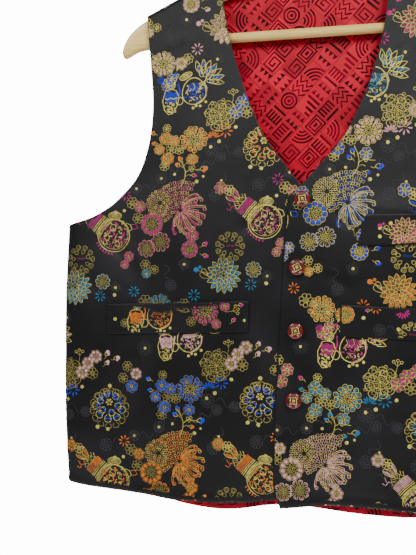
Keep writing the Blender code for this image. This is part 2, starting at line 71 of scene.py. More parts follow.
# Soft folds and creases: x and z of both ends, width, height. A height below nothing is a trough.
frontFolds = [(-205, -300, -150, -560, 44, 1.8), (-118, -130, -132, -330, 36, 1.4),
              (-86, -440, -70, -575, 36, 1.8), (205, -300, 160, -560, 44, 1.8),
              (120, -130, 128, -255, 36, 1.4), (92, -440, 84, -575, 36, 1.8)]
backFolds = [(-150, -230, -96, -570, 36, 2.6), (-30, -120, -22, -560, 34, 1.6),
             (150, -230, 100, -570, 36, 2.6), (48, -200, 40, -570, 30, 1.6)]
frontCreases = [(-232, -292, -176, -352, 15, -1.5), (-214, -300, -150, -345, 11, 0.9),
                (-246, -330, -205, -372, 12, -1.1), (-160, -262, -112, -232, 13, -0.8),
                (-225, -470, -168, -452, 12, -1.2), (-235, -500, -150, -476, 14, 0.9),
                (-120, -455, -60, -472, 11, -0.8), (-70, -300, -24, -262, 12, -1.0),
                (-60, -345, -22, -331, 10, -0.7), (-66, -420, -22, -398, 10, -0.8),
                (-60, -500, -22, -474, 11, -0.9), (-190, -540, -90, -556, 16, -1.0),
                (-150, -150, -100, -96, 14, -0.9), (-168, -90, -118, -60, 12, 0.7),
                (232, -292, 176, -350, 15, -1.5), (216, -302, 150, -340, 11, 0.9),
                (246, -336, 206, -380, 12, -1.1), (160, -258, 116, -228, 13, -0.8),
                (224, -478, 166, -458, 12, -1.2), (236, -508, 150, -484, 14, 0.9),
                (118, -462, 62, -478, 11, -0.8), (66, -290, 20, -258, 12, -1.0),
                (62, -352, 16, -334, 10, -0.8), (70, -424, 16, -402, 10, -0.9),
                (62, -498, 14, -476, 11, -0.8), (188, -545, 96, -560, 16, -1.0),
                (148, -146, 104, -92, 14, -0.9)]
backCreases = [(-236, -292, -150, -340, 15, -1.4), (236, -292, 150, -338, 15, -1.4),
               (-210, -310, -120, -352, 12, 0.9), (210, -312, 118, -356, 12, 0.9),
               (-150, -60, -60, -34, 13, -0.9), (150, -60, 60, -34, 13, -0.9),
               (-120, -420, 10, -436, 15, -1.0), (60, -470, 190, -452, 14, -1.0),
               (-200, -520, -90, -540, 16, -1.1), (-70, -150, -76, -300, 14, 0.9),
               (90, -160, 96, -330, 14, 0.8), (-40, -500, 80, -520, 15, -0.9)]


def drawnThrough(rows, fine=24):
    # a smooth curve through the rows, as many close points
    points = np.array(rows, float)
    padded = np.vstack([2 * points[0] - points[1], points, 2 * points[-1] - points[-2]])
    curve = []
    for index in range(len(points) - 1):
        before, start, end, after = padded[index:index + 4]
        for u in np.arange(fine) / fine:
            square, cube = 2 * before - 5 * start + 4 * end - after, 3 * start - before - 3 * end + after
            curve.append(0.5 * (2 * start + (end - before) * u + square * u ** 2 + cube * u ** 3))
    curve.append(points[-1])
    return np.array(curve)


def along(curve, fractions):
    steps = np.linalg.norm(np.diff(curve, axis=0), axis=1)
    run = np.concatenate([[0.0], np.cumsum(steps)])
    wanted = np.asarray(fractions) * run[-1]
    return np.stack([np.interp(wanted, run, curve[:, axis]) for axis in (0, 1)], axis=1)


def heightOf(rows):
    curve = drawnThrough(rows)
    return lambda x: np.interp(x, curve[:, 0], curve[:, 1])


def smooth(value):
    held = np.clip(value, 0.0, 1.0)
    return held * held * (3.0 - 2.0 * held)


def quarter(value):
    held = np.clip(value, 0.0, 1.0)
    return np.sqrt(1.0 - (1.0 - held) ** 2)


coreCurve = drawnThrough(coreHalf)
seamLine = drawnThrough(sideLine) - np.array([outerBuild, 0.0])
shoulderDrop = (garment["shoulderHalf"] - garment["neckHalf"]) * tan(garment["shoulderSlope"])
shoulderNormal = np.array([sin(garment["shoulderSlope"]), cos(garment["shoulderSlope"])])
shoulderLine = np.array([(garment["shoulderHalf"], -shoulderDrop), (garment["neckHalf"], 0.0)])
shoulderLine = shoulderLine - outerBuild * shoulderNormal


def distanceToShoulder(out, z):
    tip, neck = shoulderLine
    run = neck - tip
    share = np.clip(((out - tip[0]) * run[0] + (z - tip[1]) * run[1]) / (run @ run), 0.0, 1.0)
    return np.hypot(out - tip[0] - share * run[0], z - tip[1] - share * run[1])


def distanceToSide(out, z):
    underarm = seamLine[-1]
    seamOut = np.interp(z, seamLine[:, 1], seamLine[:, 0])
    below, above = np.maximum(seamOut - out, 0.0), np.hypot(out - underarm[0], z - underarm[1])
    return np.where(z < underarm[1], below, above)


def foldRelief(folds, x, z):
    relief = np.zeros(np.shape(x))
    for topX, topZ, endX, endZ, width, height in folds:
        share = (z - topZ) / (endZ - topZ)
        middle = topX + (endX - topX) * share
        fade = smooth(share / 0.3) * smooth((1.25 - share) / 0.45)
        relief += height * fade * np.exp(-((x - middle) / (0.5 * width)) ** 2)
    return relief


def creaseRelief(creases, x, z):
    # each crease wanders a little, swells unevenly and dies away at both ends
    relief = np.zeros(np.shape(x))
    for index, (startX, startZ, endX, endZ, width, height) in enumerate(creases):
        run = np.array([endX - startX, endZ - startZ])
        length = hypot(*run)
        run = run / length
        forward = (x - startX) * run[0] + (z - startZ) * run[1]
        aside = (z - startZ) * run[0] - (x - startX) * run[1]
        share = forward / length
        aside = aside - 0.09 * length * np.sin(pi * share + index) * share * (1 - share) * 4
        swell = 0.75 + 0.25 * np.sin(7.0 * share + 1.7 * index)
        fade = smooth(share / 0.35) * smooth((1.0 - share) / 0.5)
        relief += 1.5 * height * fade * swell * np.exp(-(aside / (0.5 * width)) ** 2)
    return relief


def coreDepth(x, z, folds, creases):
    out = np.abs(x)
    half = np.interp(z, coreCurve[:, 0], coreCurve[:, 1])
    side = quarter(distanceToSide(out, z) / garment["sideRound"])
    shoulder = quarter(distanceToShoulder(out, z) / (garment["hangerThick"] / 2 + garment["hangerEase"]))
    relief = foldRelief(folds, x, z)
    if creases:
        relief = relief + creaseRelief(creases, x, z) * smooth(distanceToShoulder(out, z) / 30)
    return garment["seamGap"] / 2 + (half + relief * side) * side * shoulder


def hung(x, y, z):
    # near the shoulders the garment turns with the hanger
    tilt = garment["hangerTilt"]
    level = z + garment["neckPointZ"]
    share = smooth((z - garment["tiltNone"]) / (garment["tiltFull"] - garment["tiltNone"]))
    worldX = share * (x * cos(tilt) - level * sin(tilt)) + (1 - share) * (x + garment["centreX"])
    worldZ = share * (x * sin(tilt) + level * cos(tilt)) + (1 - share) * level
    return np.stack([worldX, y, worldZ], axis=-1)


def corePatch(x, z, facing, folds, creases=()):
    step = 0.02

    def surface(atX, atZ):
        return hung(atX, facing * coreDepth(atX, atZ, folds, creases), atZ)

    points = surface(x, z)
    inwards = surface(x - np.where(x < 0, -step, step), z) - points
    down = surface(x, z - step) - points
    normal = np.cross(inwards, down) * np.where(x < 0, facing, -facing)[..., None]
    normal /= np.linalg.norm(normal, axis=-1, keepdims=True)
    return points, normal


def levelAtSeams(normal, seamCells):
    for cells in seamCells:
        level = normal[cells]
        level[..., 1] = 0.0
        normal[cells] = level / np.linalg.norm(level, axis=-1, keepdims=True)


def standOff(out, z):
    # the upper front stands off the under one near the centre line
    lap = garment["cloth"] + garment["lapGap"]
    near = smooth((garment["lapNone"] - out) / (garment["lapNone"] - garment["lapFull"]))
    return lap * near * smooth(-z / 120.0)


# Panels: which way they face, how they wrinkle, and how far both sides of the cloth stand off the core.
frontPanel = {"facing": -1, "folds": frontFolds, "creases": frontCreases, "lap": False, "flat": (0.30, 0.62),
              "near": outerBuild - garment["cloth"], "far": outerBuild}
backPanel = {**frontPanel, "facing": 1, "folds": backFolds, "creases": backCreases, "flat": (0.56, 0.62)}
panels = {"rightFront": frontPanel, "leftFront": {**frontPanel, "lap": True}, "back": backPanel,
          "backLining": {**backPanel, "near": 0.0, "far": garment["lining"]}}


def panelSurface(name, x, z):
    panel = panels[name]
    return corePatch(x, z, panel["facing"], panel["folds"], panel["creases"])


def panelPoint(name, x, z, lift):
    # points on a panel's outside, raised by lift
    points, normal = panelSurface(name, x, z)
    off = panels[name]["far"] + lift
    if panels[name]["lap"]:
        off = off + standOff(x, z)
    return (points + normal * np.asarray(off)[..., None]) * mm


# Cloth walls

density = {"lowRows": 90, "highRows": 84, "roundSteps": 9, "frontColumns": 76, "shoulderColumns": 13,
           "rowGrowth": 1.25, "endReach": 8, "neckColumns": 32, "neckGrowth": 1.5}


def roundedSteps(radius):
    return radius * (1.0 - np.cos(np.linspace(0.0, pi / 2, density["roundSteps"] + 1)))


def rowFractions(length):
    radius = (garment["hangerThick"] / 2 + garment["hangerEase"]) / cos(garment["shoulderSlope"])
    roundRows = roundedSteps(radius) / length
    even = np.linspace(0.0, 1.0, density["highRows"] + 1) ** density["rowGrowth"]
    return np.concatenate([(1.0 - roundRows[-1]) * even, 1.0 - roundRows[-2::-1]])


def edgeRows(lower, upper):
    low = along(lower, np.linspace(0.0, 1.0, density["lowRows"] + 1))
    length = np.linalg.norm(np.diff(upper, axis=0), axis=1).sum()
    return np.vstack([low, along(upper, rowFractions(length))[1:]])


def hemPull(rows):
    return np.clip(1.0 - np.arange(rows) / density["lowRows"], 0.0, 1.0) ** 2


def topPull(heights):
    underarm = heights[density["lowRows"]]
    return np.clip((heights - underarm) / (heights[-1] - underarm), 0.0, 1.0) ** 2


def bentTo(curve, first, last):
    share = np.linspace(0.0, 1.0, len(curve))[:, None]
    reach = density["endReach"]
    return curve + (first - curve[0]) * (1.0 - share) ** reach + (last - curve[-1]) * share ** reach


def sideEdge():
    return edgeRows(seamLine, bentTo(drawnThrough(armholeLine), seamLine[-1], shoulderLine[0]))


def frontGrid(side, frontEdge, hem):
    outer = sideEdge()
    lower = drawnThrough(frontEdge)
    inner = edgeRows(lower, bentTo(drawnThrough(neckLine), lower[-1], shoulderLine[1]))
    hemLine = heightOf(hem)
    width = np.linalg.norm(inner - outer, axis=1)
    close = roundedSteps(garment["sideRound"])
    rest = np.linspace(0.0, 1.0, density["frontColumns"] + 1)[1:]
    grid = np.zeros((len(outer), len(close) + len(rest), 2))
    for row in range(len(outer)):
        even = garment["sideRound"] + rest * (width[row] - garment["sideRound"])
        reach = np.concatenate([close, even]) / width[row]
        grid[row] = outer[row] + (inner[row] - outer[row]) * reach[:, None]
    ends = np.array([inner[0, 0], outer[0, 0]])
    curved = hemLine(grid[0, :, 0]) - np.interp(grid[0, :, 0], ends, hemLine(ends))
    grid[:, :, 1] += hemPull(len(outer))[:, None] * curved
    seams = [np.s_[:density["lowRows"] + 1, 0], np.s_[-1, :]]
    return side * grid[:, :, 0], grid[:, :, 1], seams


def backGrid():
    edge = sideEdge()
    hemLine = heightOf(backHem)
    close = roundedSteps(garment["sideRound"])
    tip, neck = shoulderLine
    across = tip[0] - neck[0]
    reach = np.linspace(garment["sideRound"], across, density["shoulderColumns"] + 1)[1:]
    reach = np.concatenate([close, reach])
    shoulder = tip + (neck - tip) * (reach / across)[:, None]
    angles = radians(1.0) * np.linspace(0, 1, density["neckColumns"])[1:] ** density["neckGrowth"] * 90
    neckCurve = np.stack([neck[0] * np.cos(angles),
                          neck[1] - garment["backNeckDrop"] * np.sin(angles)], axis=1)
    top = np.vstack([shoulder, neckCurve])
    share = np.linspace(0.0, 1.0, len(top) - len(close) + 1)[1:]
    even = garment["sideRound"] + share * (edge[:, :1] - garment["sideRound"])
    out = edge[:, :1] - np.concatenate([np.tile(close, (len(edge), 1)), even], axis=1)
    pull = topPull(edge[:, 1])[:, None]
    out += pull * (top[:, 0] - out[-1])
    up = edge[:, 1:] + pull * (top[:, 1] - edge[-1, 1])
    hemHere = hemPull(len(edge))[:, None]
    leftUp = up + hemHere * (hemLine(out[0]) - hemLine(out[0, 0]))
    rightUp = up + hemHere * (hemLine(-out[0]) - hemLine(out[0, 0]))
    x = np.concatenate([-out, out[:, -2::-1]], axis=1)
    z = np.concatenate([rightUp, leftUp[:, -2::-1]], axis=1)
    onShoulder = np.arange(len(top)) < len(reach)
    onShoulder = np.flatnonzero(np.concatenate([onShoulder, onShoulder[-2::-1]]))
    return x, z, [np.s_[:density["lowRows"] + 1, [0, -1]], (-1, onShoulder)]


hemRoll = {"rise": 0.5, "riseAt": 4.0, "riseWide": 3.2, "dip": 0.45, "dipAt": 10.5, "dipWide": 1.5}


def edgeRise(x, z):
    # the hem is turned in, so it stands up a little and dips behind the turning
    step = np.hypot(np.diff(z, axis=0), np.diff(x, axis=0))
    fromHem = np.vstack([np.zeros(x.shape[1]), np.cumsum(step, axis=0)])
    rolled = hemRoll["rise"] * np.exp(-((fromHem - hemRoll["riseAt"]) / hemRoll["riseWide"]) ** 2)
    return rolled - hemRoll["dip"] * np.exp(-((fromHem - hemRoll["dipAt"]) / hemRoll["dipWide"]) ** 2)


weaveUnit = 100.0  # millimetres of cloth to one unit of the weave's UV


def newPiece(name, points, faces, finishes):
    mesh = bpy.data.meshes.new(name)
    mesh.from_pydata(points.tolist(), [], faces)
    for finish in finishes:
        mesh.materials.append(finish)
    piece = bpy.data.objects.new(name, mesh)
    bpy.context.collection.objects.link(piece)
    return piece


def wallPiece(name, points, normal, near, far, finishes):
    # a closed wall of quads between two copies of the grid, with its weave laid out as UV
    rows, columns = points.shape[:2]
    count = rows * columns
    walls = [points + normal * np.asarray(off)[..., None] for off in (near, far)]
    index = np.arange(count).reshape(rows, columns)
    a, b, c, d = index[:-1, :-1], index[:-1, 1:], index[1:, 1:], index[1:, :-1]
    innerFaces = np.stack([a, b, c, d], axis=-1).reshape(-1, 4)
    rim = np.concatenate([index[0], index[1:, -1], index[-1, -2::-1], index[-2:0:-1, 0]])
    nextRim = np.roll(rim, -1)
    rimFaces = np.stack([nextRim, rim, rim + count, nextRim + count], axis=-1)
    faces = np.concatenate([innerFaces, innerFaces[:, ::-1] + count, rimFaces])
    piece = newPiece(name, np.concatenate(walls).reshape(-1, 3) * mm, faces.tolist(), finishes)
    mesh = piece.data
    kinds = [len(finishes) - 1] * len(innerFaces) + [0] * (len(faces) - len(innerFaces))
    mesh.polygons.foreach_set("material_index", kinds)
    across = np.linalg.norm(np.diff(points, axis=1), axis=2)
    run = np.concatenate([np.zeros((rows, 1)), np.cumsum(across, axis=1)], axis=1)
    laid = np.tile(np.stack([run, points[:, :, 2]], axis=-1).reshape(-1, 2) / weaveUnit, (2, 1))
    loops = np.zeros(len(mesh.loops), int)
    mesh.loops.foreach_get("vertex_index", loops)
    mesh.uv_layers.new(name="weave").data.foreach_set("uv", laid[loops].ravel())
    work = bmesh.new()
    work.from_mesh(mesh)
    if work.calc_volume(signed=True) < 0:
        bmesh.ops.reverse_faces(work, faces=work.faces)
        work.to_mesh(mesh)
    work.free()
    return piece


def reliefPiece(name, points, faces, finishes, facing):
    # low relief that lies on the cloth, all its faces turned outwards
    piece = newPiece(name, points, faces, finishes)
    work = bmesh.new()
    work.from_mesh(piece.data)
    work.normal_update()
    bmesh.ops.reverse_faces(work, faces=[face for face in work.faces if face.normal.y * facing < 0])
    work.to_mesh(piece.data)
    work.free()
    piece.data.shade_smooth()
    return piece


def pick(*pieces):
    bpy.ops.object.select_all(action="DESELECT")
    for piece in pieces:
        piece.select_set(True)
    bpy.context.view_layer.objects.active = pieces[0]


def finishModifiers(piece):
    pick(piece)
    for modifier in list(piece.modifiers):
        bpy.ops.object.modifier_apply(modifier=modifier.name)


def smoothBy(piece, angle):
    pick(piece)
    bpy.ops.object.shade_smooth_by_angle(angle=radians(angle))


def rollRims(piece, width):
    bevel = piece.modifiers.new("rolledRim", "BEVEL")
    bevel.width = width
    bevel.segments = 2
    bevel.limit_method = "ANGLE"
    bevel.angle_limit = radians(60)
    finishModifiers(piece)
    smoothBy(piece, 50)


def settle(piece, node=None):
    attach(piece, "root")
    if node:
        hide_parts(node)


# Shader parts

def makeNode(tree, kind, inputs=(), **settings):
    node = tree.nodes.new(kind)
    for key, value in settings.items():
        setattr(node, key, value)
    for key, value in dict(inputs).items():
        if isinstance(value, bpy.types.NodeSocket):
            tree.links.new(value, node.inputs[key])
        else:
            node.inputs[key].default_value = value
    return node


def startGroup(name, values):
    # takes a place and some values, puts out Height for bump and Shade for a little colour change
    group = bpy.data.node_groups.new(name, "ShaderNodeTree")
    group.interface.new_socket("Vector", in_out="INPUT", socket_type="NodeSocketVector")
    for label, value in values.items():
        group.interface.new_socket(label, in_out="INPUT", socket_type="NodeSocketFloat").default_value = value
    for label in ("Height", "Shade"):
        group.interface.new_socket(label, in_out="OUTPUT", socket_type="NodeSocketFloat")
    return group, group.nodes.new("NodeGroupInput"), group.nodes.new("NodeGroupOutput")


def math(tree, operation, first, second=0.0, third=0.0):
    return makeNode(tree, "ShaderNodeMath", {0: first, 1: second, 2: third}, operation=operation).outputs[0]


def mixColour(tree, share, first, second, blend="MIX"):
    first, second = ((*colour, 1.0) if isinstance(colour, tuple) else colour for colour in (first, second))
    node = makeNode(tree, "ShaderNodeMix", {0: share, 6: first, 7: second},
                    data_type="RGBA", blend_type=blend)
    return node.outputs[2]


def noise(tree, place, scale, detail=2.0, distortion=0.0, roughness=0.5):
    return makeNode(tree, "ShaderNodeTexNoise", {
        "Vector": place, "Scale": scale, "Detail": detail, "Distortion": distortion, "Roughness": roughness,
    }).outputs["Fac"]


def makeWeaveGroup():
    # threads crossing at right angles, with slubs
    group, start, end = startGroup("weave", {"Threads": 180.0, "Slant": 0.0})
    place, threads = start.outputs["Vector"], start.outputs["Threads"]
    split = makeNode(group, "ShaderNodeSeparateXYZ", {0: place})
    slanted = math(group, "MULTIPLY_ADD", split.outputs["Y"], start.outputs["Slant"], split.outputs["X"])
    warp = math(group, "SINE", math(group, "MULTIPLY", slanted, threads))
    weft = math(group, "SINE", math(group, "MULTIPLY", split.outputs["Y"], threads))
    over = math(group, "MAXIMUM", warp, math(group, "MULTIPLY", weft, 0.6))
    slub = noise(group, place, 40.0, 3.0)
    group.links.new(math(group, "MULTIPLY_ADD", slub, 0.5, over), end.inputs["Height"])
    group.links.new(slub, end.inputs["Shade"])
    return group


def makeYarnGroup():
    # level floats of yarn, a little uneven
    group, start, end = startGroup("yarnFloats", {"Spacing": 0.0005, "Unevenness": 0.3})
    place = start.outputs["Vector"]
    split = makeNode(group, "ShaderNodeSeparateXYZ", {0: place})
    turns = math(group, "DIVIDE", split.outputs["Z"], start.outputs["Spacing"])
    wander = math(group, "MULTIPLY_ADD", noise(group, place, 900.0), start.outputs["Unevenness"], turns)
    ridge = math(group, "ABSOLUTE", math(group, "SINE", math(group, "MULTIPLY", wander, pi)))
    # Shade is noise with each float's crest added, so a colour made from it carries painted shade between the
    # floats
    shade = math(group, "MULTIPLY_ADD", noise(group, place, 380.0), 0.7, math(group, "MULTIPLY", ridge, 0.3))
    group.links.new(ridge, end.inputs["Height"])
    group.links.new(shade, end.inputs["Shade"])
    return group


def useGroup(tree, group, place, values):
    node = makeNode(tree, "ShaderNodeGroup", {"Vector": place, **values}, node_tree=group)
    return node.outputs["Height"], node.outputs["Shade"]


def startMaterial(name, values):
    # a material with its even values set, and where its patterns are read
    finish = bpy.data.materials.new(name)
    finish.use_nodes = True
    tree = finish.node_tree
    shader = tree.nodes["Principled BSDF"]
    for key, value in values.items():
        shader.inputs[key].default_value = value
    return finish, tree, shader, makeNode(tree, "ShaderNodeTexCoord").outputs["Object"]


def colourInto(tree, shader, colour):
    tree.links.new(colour, shader.inputs["Base Color"])


def bumpInto(tree, shader, height, strength, distance):
    bump = makeNode(tree, "ShaderNodeBump", {"Height": height, "Strength": strength, "Distance": distance})
    tree.links.new(bump.outputs["Normal"], shader.inputs["Normal"])


weaveGroup = makeWeaveGroup()
yarnGroup = makeYarnGroup()


def makeBrocadeGround():
    finish, tree, shader, place = startMaterial("brocadeGround", {
        "Sheen Weight": 0.04, "Sheen Roughness": 0.4, "Specular IOR Level": 0.28})
    uv = makeNode(tree, "ShaderNodeUVMap", uv_map="weave").outputs[0]
    height, shade = useGroup(tree, weaveGroup, uv, {"Threads": 1500.0, "Slant": 0.35})
    colour = mixColour(tree, shade, (0.0008, 0.0007, 0.0011), (0.0052, 0.0049, 0.0064))
    # broad lighter patches in the ground's colour: painted satin sheen
    paintedSheen = math(tree, "MULTIPLY_ADD", noise(tree, place, 8.5, 2.5, 0.6), 3.2, -1.35)
    colourInto(tree, shader, mixColour(tree, paintedSheen, colour, (0.0115, 0.0110, 0.0132)))
    rough = math(tree, "MULTIPLY_ADD", noise(tree, place, 16.0, 4.0), 0.20, 0.30)
    tree.links.new(rough, shader.inputs["Roughness"])
    bumpInto(tree, shader, height, 0.4, 0.0001)
    return finish


# Print of the lining: size of a square, its turn in degrees, the middle of one square, the figures' size,
# how high the ink stands, and how far the print is laid out.
lining = {"pitch": 20.5, "turn": 47, "middle": (6.5, -371.8), "figure": 1.08, "inkStand": 0.08,
          "squares": 30, "printMiddle": -300, "printHalf": 290, "printLow": -640, "printTop": 20}


def makeLiningSatin():
    finish, tree, shader, place = startMaterial("liningSatin", {
        "Roughness": 0.42, "Sheen Weight": 0.03, "Sheen Roughness": 0.4, "Specular IOR Level": 0.18})
    uv = makeNode(tree, "ShaderNodeUVMap", uv_map="weave").outputs[0]
    height, shade = useGroup(tree, weaveGroup, uv, {"Threads": 1700.0, "Slant": 0.6})
    pitch, (middleX, middleZ) = lining["pitch"] * mm, lining["middle"]
    turned = makeNode(tree, "ShaderNodeMapping", {
        "Vector": place, "Rotation": (0, -radians(lining["turn"]), 0),
        "Location": (middleX * mm, 0, middleZ * mm)}, vector_type="TEXTURE")
    split = makeNode(tree, "ShaderNodeSeparateXYZ", {0: turned.outputs[0]})
    raised = math(tree, "ADD", split.outputs["Z"], 0.5 * pitch)
    flat = makeNode(tree, "ShaderNodeCombineXYZ", {0: split.outputs["X"], 1: raised})
    squares = makeNode(tree, "ShaderNodeTexBrick", {
        "Vector": flat.outputs[0], "Scale": 1.0, "Mortar Size": 0.0011, "Mortar Smooth": 0.2, "Bias": -0.1,
        "Brick Width": pitch, "Row Height": pitch,
        "Color1": (1, 1, 1, 1), "Color2": (0, 0, 0, 1), "Mortar": (0.25, 0.25, 0.25, 1)}, offset=0.5)
    colour = mixColour(tree, squares.outputs["Color"], (0.25, 0.0, 0.008), (0.68, 0.0, 0.026))
    # slubs lighten the red a little: random tone of the thread, partly painted sheen
    colour = mixColour(tree, math(tree, "MULTIPLY", shade, 0.35), colour, (0.72, 0.0, 0.032))
    colourInto(tree, shader, colour)
    bumpInto(tree, shader, height, 0.3, 0.0001)
    return finish


def makeYarn(name, metallic, roughness, spacing):
    # the colour of each motif is kept on its own points
    finish, tree, shader, place = startMaterial(name, {
        "Roughness": roughness, "Metallic": metallic, "Sheen Weight": 0.03, "Specular IOR Level": 0.3})
    dye = makeNode(tree, "ShaderNodeAttribute", attribute_name="dye").outputs["Color"]
    height, shade = useGroup(tree, yarnGroup, place, {"Spacing": spacing, "Unevenness": 0.5})
    # the dye is mixed with a darker copy of itself by noise and by each float's crest: uneven tone of the
    # thread, together with painted glints and painted shade between the floats
    dark = mixColour(tree, 1.0, dye, (0.30, 0.27, 0.25), "MULTIPLY")
    glints = math(tree, "MULTIPLY_ADD", shade, 2.6, -0.85)
    colourInto(tree, shader, mixColour(tree, glints, dark, dye))
    bumpInto(tree, shader, height, 0.6, 0.00015)
    return finish


def makePrintInk():
    finish, tree, shader, place = startMaterial("liningInk", {"Roughness": 0.6, "Specular IOR Level": 0.08})
    height, shade = useGroup(tree, yarnGroup, place, {"Spacing": 0.0006, "Unevenness": 0.8})
    faded = math(tree, "MULTIPLY_ADD", noise(tree, place, 55.0, 1.5), 4.0, -1.75)
    colourInto(tree, shader, mixColour(tree, faded, (0.010, 0.0012, 0.002), (0.19, 0.0015, 0.013)))
    bumpInto(tree, shader, height, 0.2, 0.00005)
    return finish


def makeButtonEnamel(name, deep, bright):
    finish, tree, shader, place = startMaterial(name, {
        "Roughness": 0.10, "Coat Weight": 1.0, "Coat Roughness": 0.03})
    swirled = math(tree, "MULTIPLY_ADD", noise(tree, place, 240.0, 3.0, 1.2), 2.4, -0.7)
    colourInto(tree, shader, mixColour(tree, swirled, deep, bright))
    return finish


def makeRubbedMetal(name, scale, detail, deep, bright, least, spread):
    finish, tree, shader, place = startMaterial(name, {"Metallic": 1.0})
    rub = noise(tree, place, scale, detail)
    colourInto(tree, shader, mixColour(tree, rub, deep, bright))
    tree.links.new(math(tree, "MULTIPLY_ADD", rub, spread, least), shader.inputs["Roughness"])
    return finish


def makePaleWood():
    finish, tree, shader, place = startMaterial("paleWood", {
        "Roughness": 0.42, "Coat Weight": 0.25, "Coat Roughness": 0.3})
    stretched = makeNode(tree, "ShaderNodeMapping", {"Vector": place, "Scale": (6.0, 90.0, 90.0)})
    grain = noise(tree, stretched.outputs[0], 5.0, 5.0, 0.4, 0.6)
    ramp = makeNode(tree, "ShaderNodeValToRGB", {0: grain})
    for stop, position, colour in zip(ramp.color_ramp.elements, (0.32, 0.62),
                                      ((0.56, 0.34, 0.075, 1), (0.84, 0.61, 0.17, 1))):
        stop.position, stop.color = position, colour
    broad = math(tree, "MULTIPLY", noise(tree, place, 14.0), 0.4)
    colourInto(tree, shader, mixColour(tree, broad, ramp.outputs[0], (0.93, 0.73, 0.25)))
    bumpInto(tree, shader, grain, 0.15, 0.0002)
    return finish


brocadeGround = makeBrocadeGround()
liningSatin = makeLiningSatin()
silkYarn = makeYarn("silkYarn", 0.0, 0.42, 0.00055)
giltYarn = makeYarn("giltYarn", 0.3, 0.34, 0.00045)
liningInk = makePrintInk()
print("materials made")


# The brocade's motifs, drawn flat in millimetres, as lines and filled patches of yarn

dyes = {  # linear colours
    "gilt": (1.0, 0.86, 0.18), "olive": (0.24, 0.20, 0.045), "tone": (0.042, 0.041, 0.047),
    "magenta": (0.56, 0.0, 0.21), "teal": (0.0, 0.21, 0.42), "orange": (0.88, 0.21, 0.0),
    "blue": (0.0, 0.045, 0.68), "pink": (0.88, 0.44, 0.48),
}


def line(art, points, width, yarn, closed=False):
    art.append(("line", np.array(points, float), width, yarn, closed))


def patch(art, outline, yarn):
    art.append(("patch", np.array(outline, float), 0.0, yarn, True))


def ring(x, y, radius, count=9, flat=1.0, turn=0.0):
    t = np.linspace(0, 2 * pi, count, endpoint=False)
    across, up = radius * np.cos(t), radius * flat * np.sin(t)
    return np.stack([x + across * cos(turn) - up * sin(turn),
                     y + across * sin(turn) + up * cos(turn)], axis=1)


def drop(x, y, length, width, angle, count=9, bend=0.0, start=0.0):
    # a petal with its point at x, y; start above 0 leaves it open at the point
    t = np.linspace(start, 2 * pi - start, count, endpoint=start > 0)
    forward = length * (1 - np.cos(t)) / 2
    aside = width * 0.62 * np.sin(t) * np.sin(t / 2)
    heading = angle + bend * (forward / length) ** 2
    return np.stack([x + forward * np.cos(heading) - aside * np.sin(heading),
                     y + forward * np.sin(heading) + aside * np.cos(heading)], axis=1)


def rings(art, spots, radius, count, width, yarn):
    for x, y, angle in spots:
        line(art, ring(x, y, radius, count), width, yarn, True)


def around(count, radius, start=0.0):
    for index in range(count):
        angle = start + 2 * pi * index / count
        yield radius * cos(angle), radius * sin(angle), angle


def laidAt(art, x, y, size=1.0, turn=0.0):
    c, s = cos(turn) * size, sin(turn) * size
    moved = []
    for kind, points, width, yarn, closed in art:
        px, py = points.T
        place = np.stack([x + px * c - py * s, y + px * s + py * c], axis=1)
        moved.append((kind, place, width * min(1.0, size), yarn, closed))
    return moved


def scribble(art, x, y, reach, count, yarns, length=4.2, flat=1.0):
    # short curling brush strokes that fill a round place
    for step in range(count):
        angle = 2.4 * step
        at = reach * ((step + 0.5) / count) ** 0.5
        startX, startY = x + at * cos(angle), y + at * sin(angle) * flat
        heading = angle * 1.7 + 1.3
        path = [(startX, startY)]
        for turn in (0.0, 0.7, 1.5):
            heading += turn * (1 if step % 3 else -1)
            path.append((path[-1][0] + length / 3 * cos(heading), path[-1][1] + length / 3 * sin(heading)))
        line(art, path, 1.25 if step % 2 else 0.9, yarns[step % len(yarns)])


def dotFlower(radius, dots=7):
    art = []
    spots = list(around(dots, 0.6798 * radius, 0.3))
    for x, y, angle in spots:
        patch(art, ring(x, y, 0.25 * radius, 8), "silk")
    rings(art, spots, 0.38 * radius, 8, 0.55, "edge")
    rings(art, [(0, 0, 0)], 0.20 * radius, 7, 0.8, "gilt")
    return art


def outlineFlower(radius, petals=7, yarn="olive"):
    art = []
    rings(art, around(petals, 0.64 * radius, 0.2), 0.31 * radius, 8, 0.7, yarn)
    rings(art, around(5, 0.22 * radius, 0.1), 0.11 * radius, 6, 0.55, yarn)
    return art


def ringFlower(radius, petals=11):
    art = []
    for x, y, angle in around(petals, 0.56 * radius):
        patch(art, drop(x * 1.06, y * 1.06, 0.40 * radius, 0.40 * radius, angle), "silk")
        line(art, drop(x * 0.92, y * 0.92, 0.55 * radius, 0.56 * radius, angle), 0.6, "edge", True)
    rings(art, around(8, 0.40 * radius), 0.12 * radius, 7, 0.6, "olive")
    rings(art, around(5, 0.19 * radius, 0.2), 0.10 * radius, 6, 0.6, "olive")
    return art


def scallopFlower(radius, petals=9):
    art = []
    for x, y, angle in around(petals, 0.60 * radius, 0.15):
        line(art, drop(x, y, 0.42 * radius, 0.46 * radius, angle, 9, 0.0, 0.9), 0.85, "pale")
        patch(art, ring(x * 1.5, y * 1.5, 0.08 * radius, 6), "silk")
    rings(art, around(9, 0.50 * radius, 0.5), 0.13 * radius, 7, 0.6, "olive")
    rings(art, around(6, 0.25 * radius, 0.4), 0.11 * radius, 6, 0.6, "olive")
    rings(art, [(0, 0, 0)], 0.07 * radius, 6, 0.6, "olive")
    return art


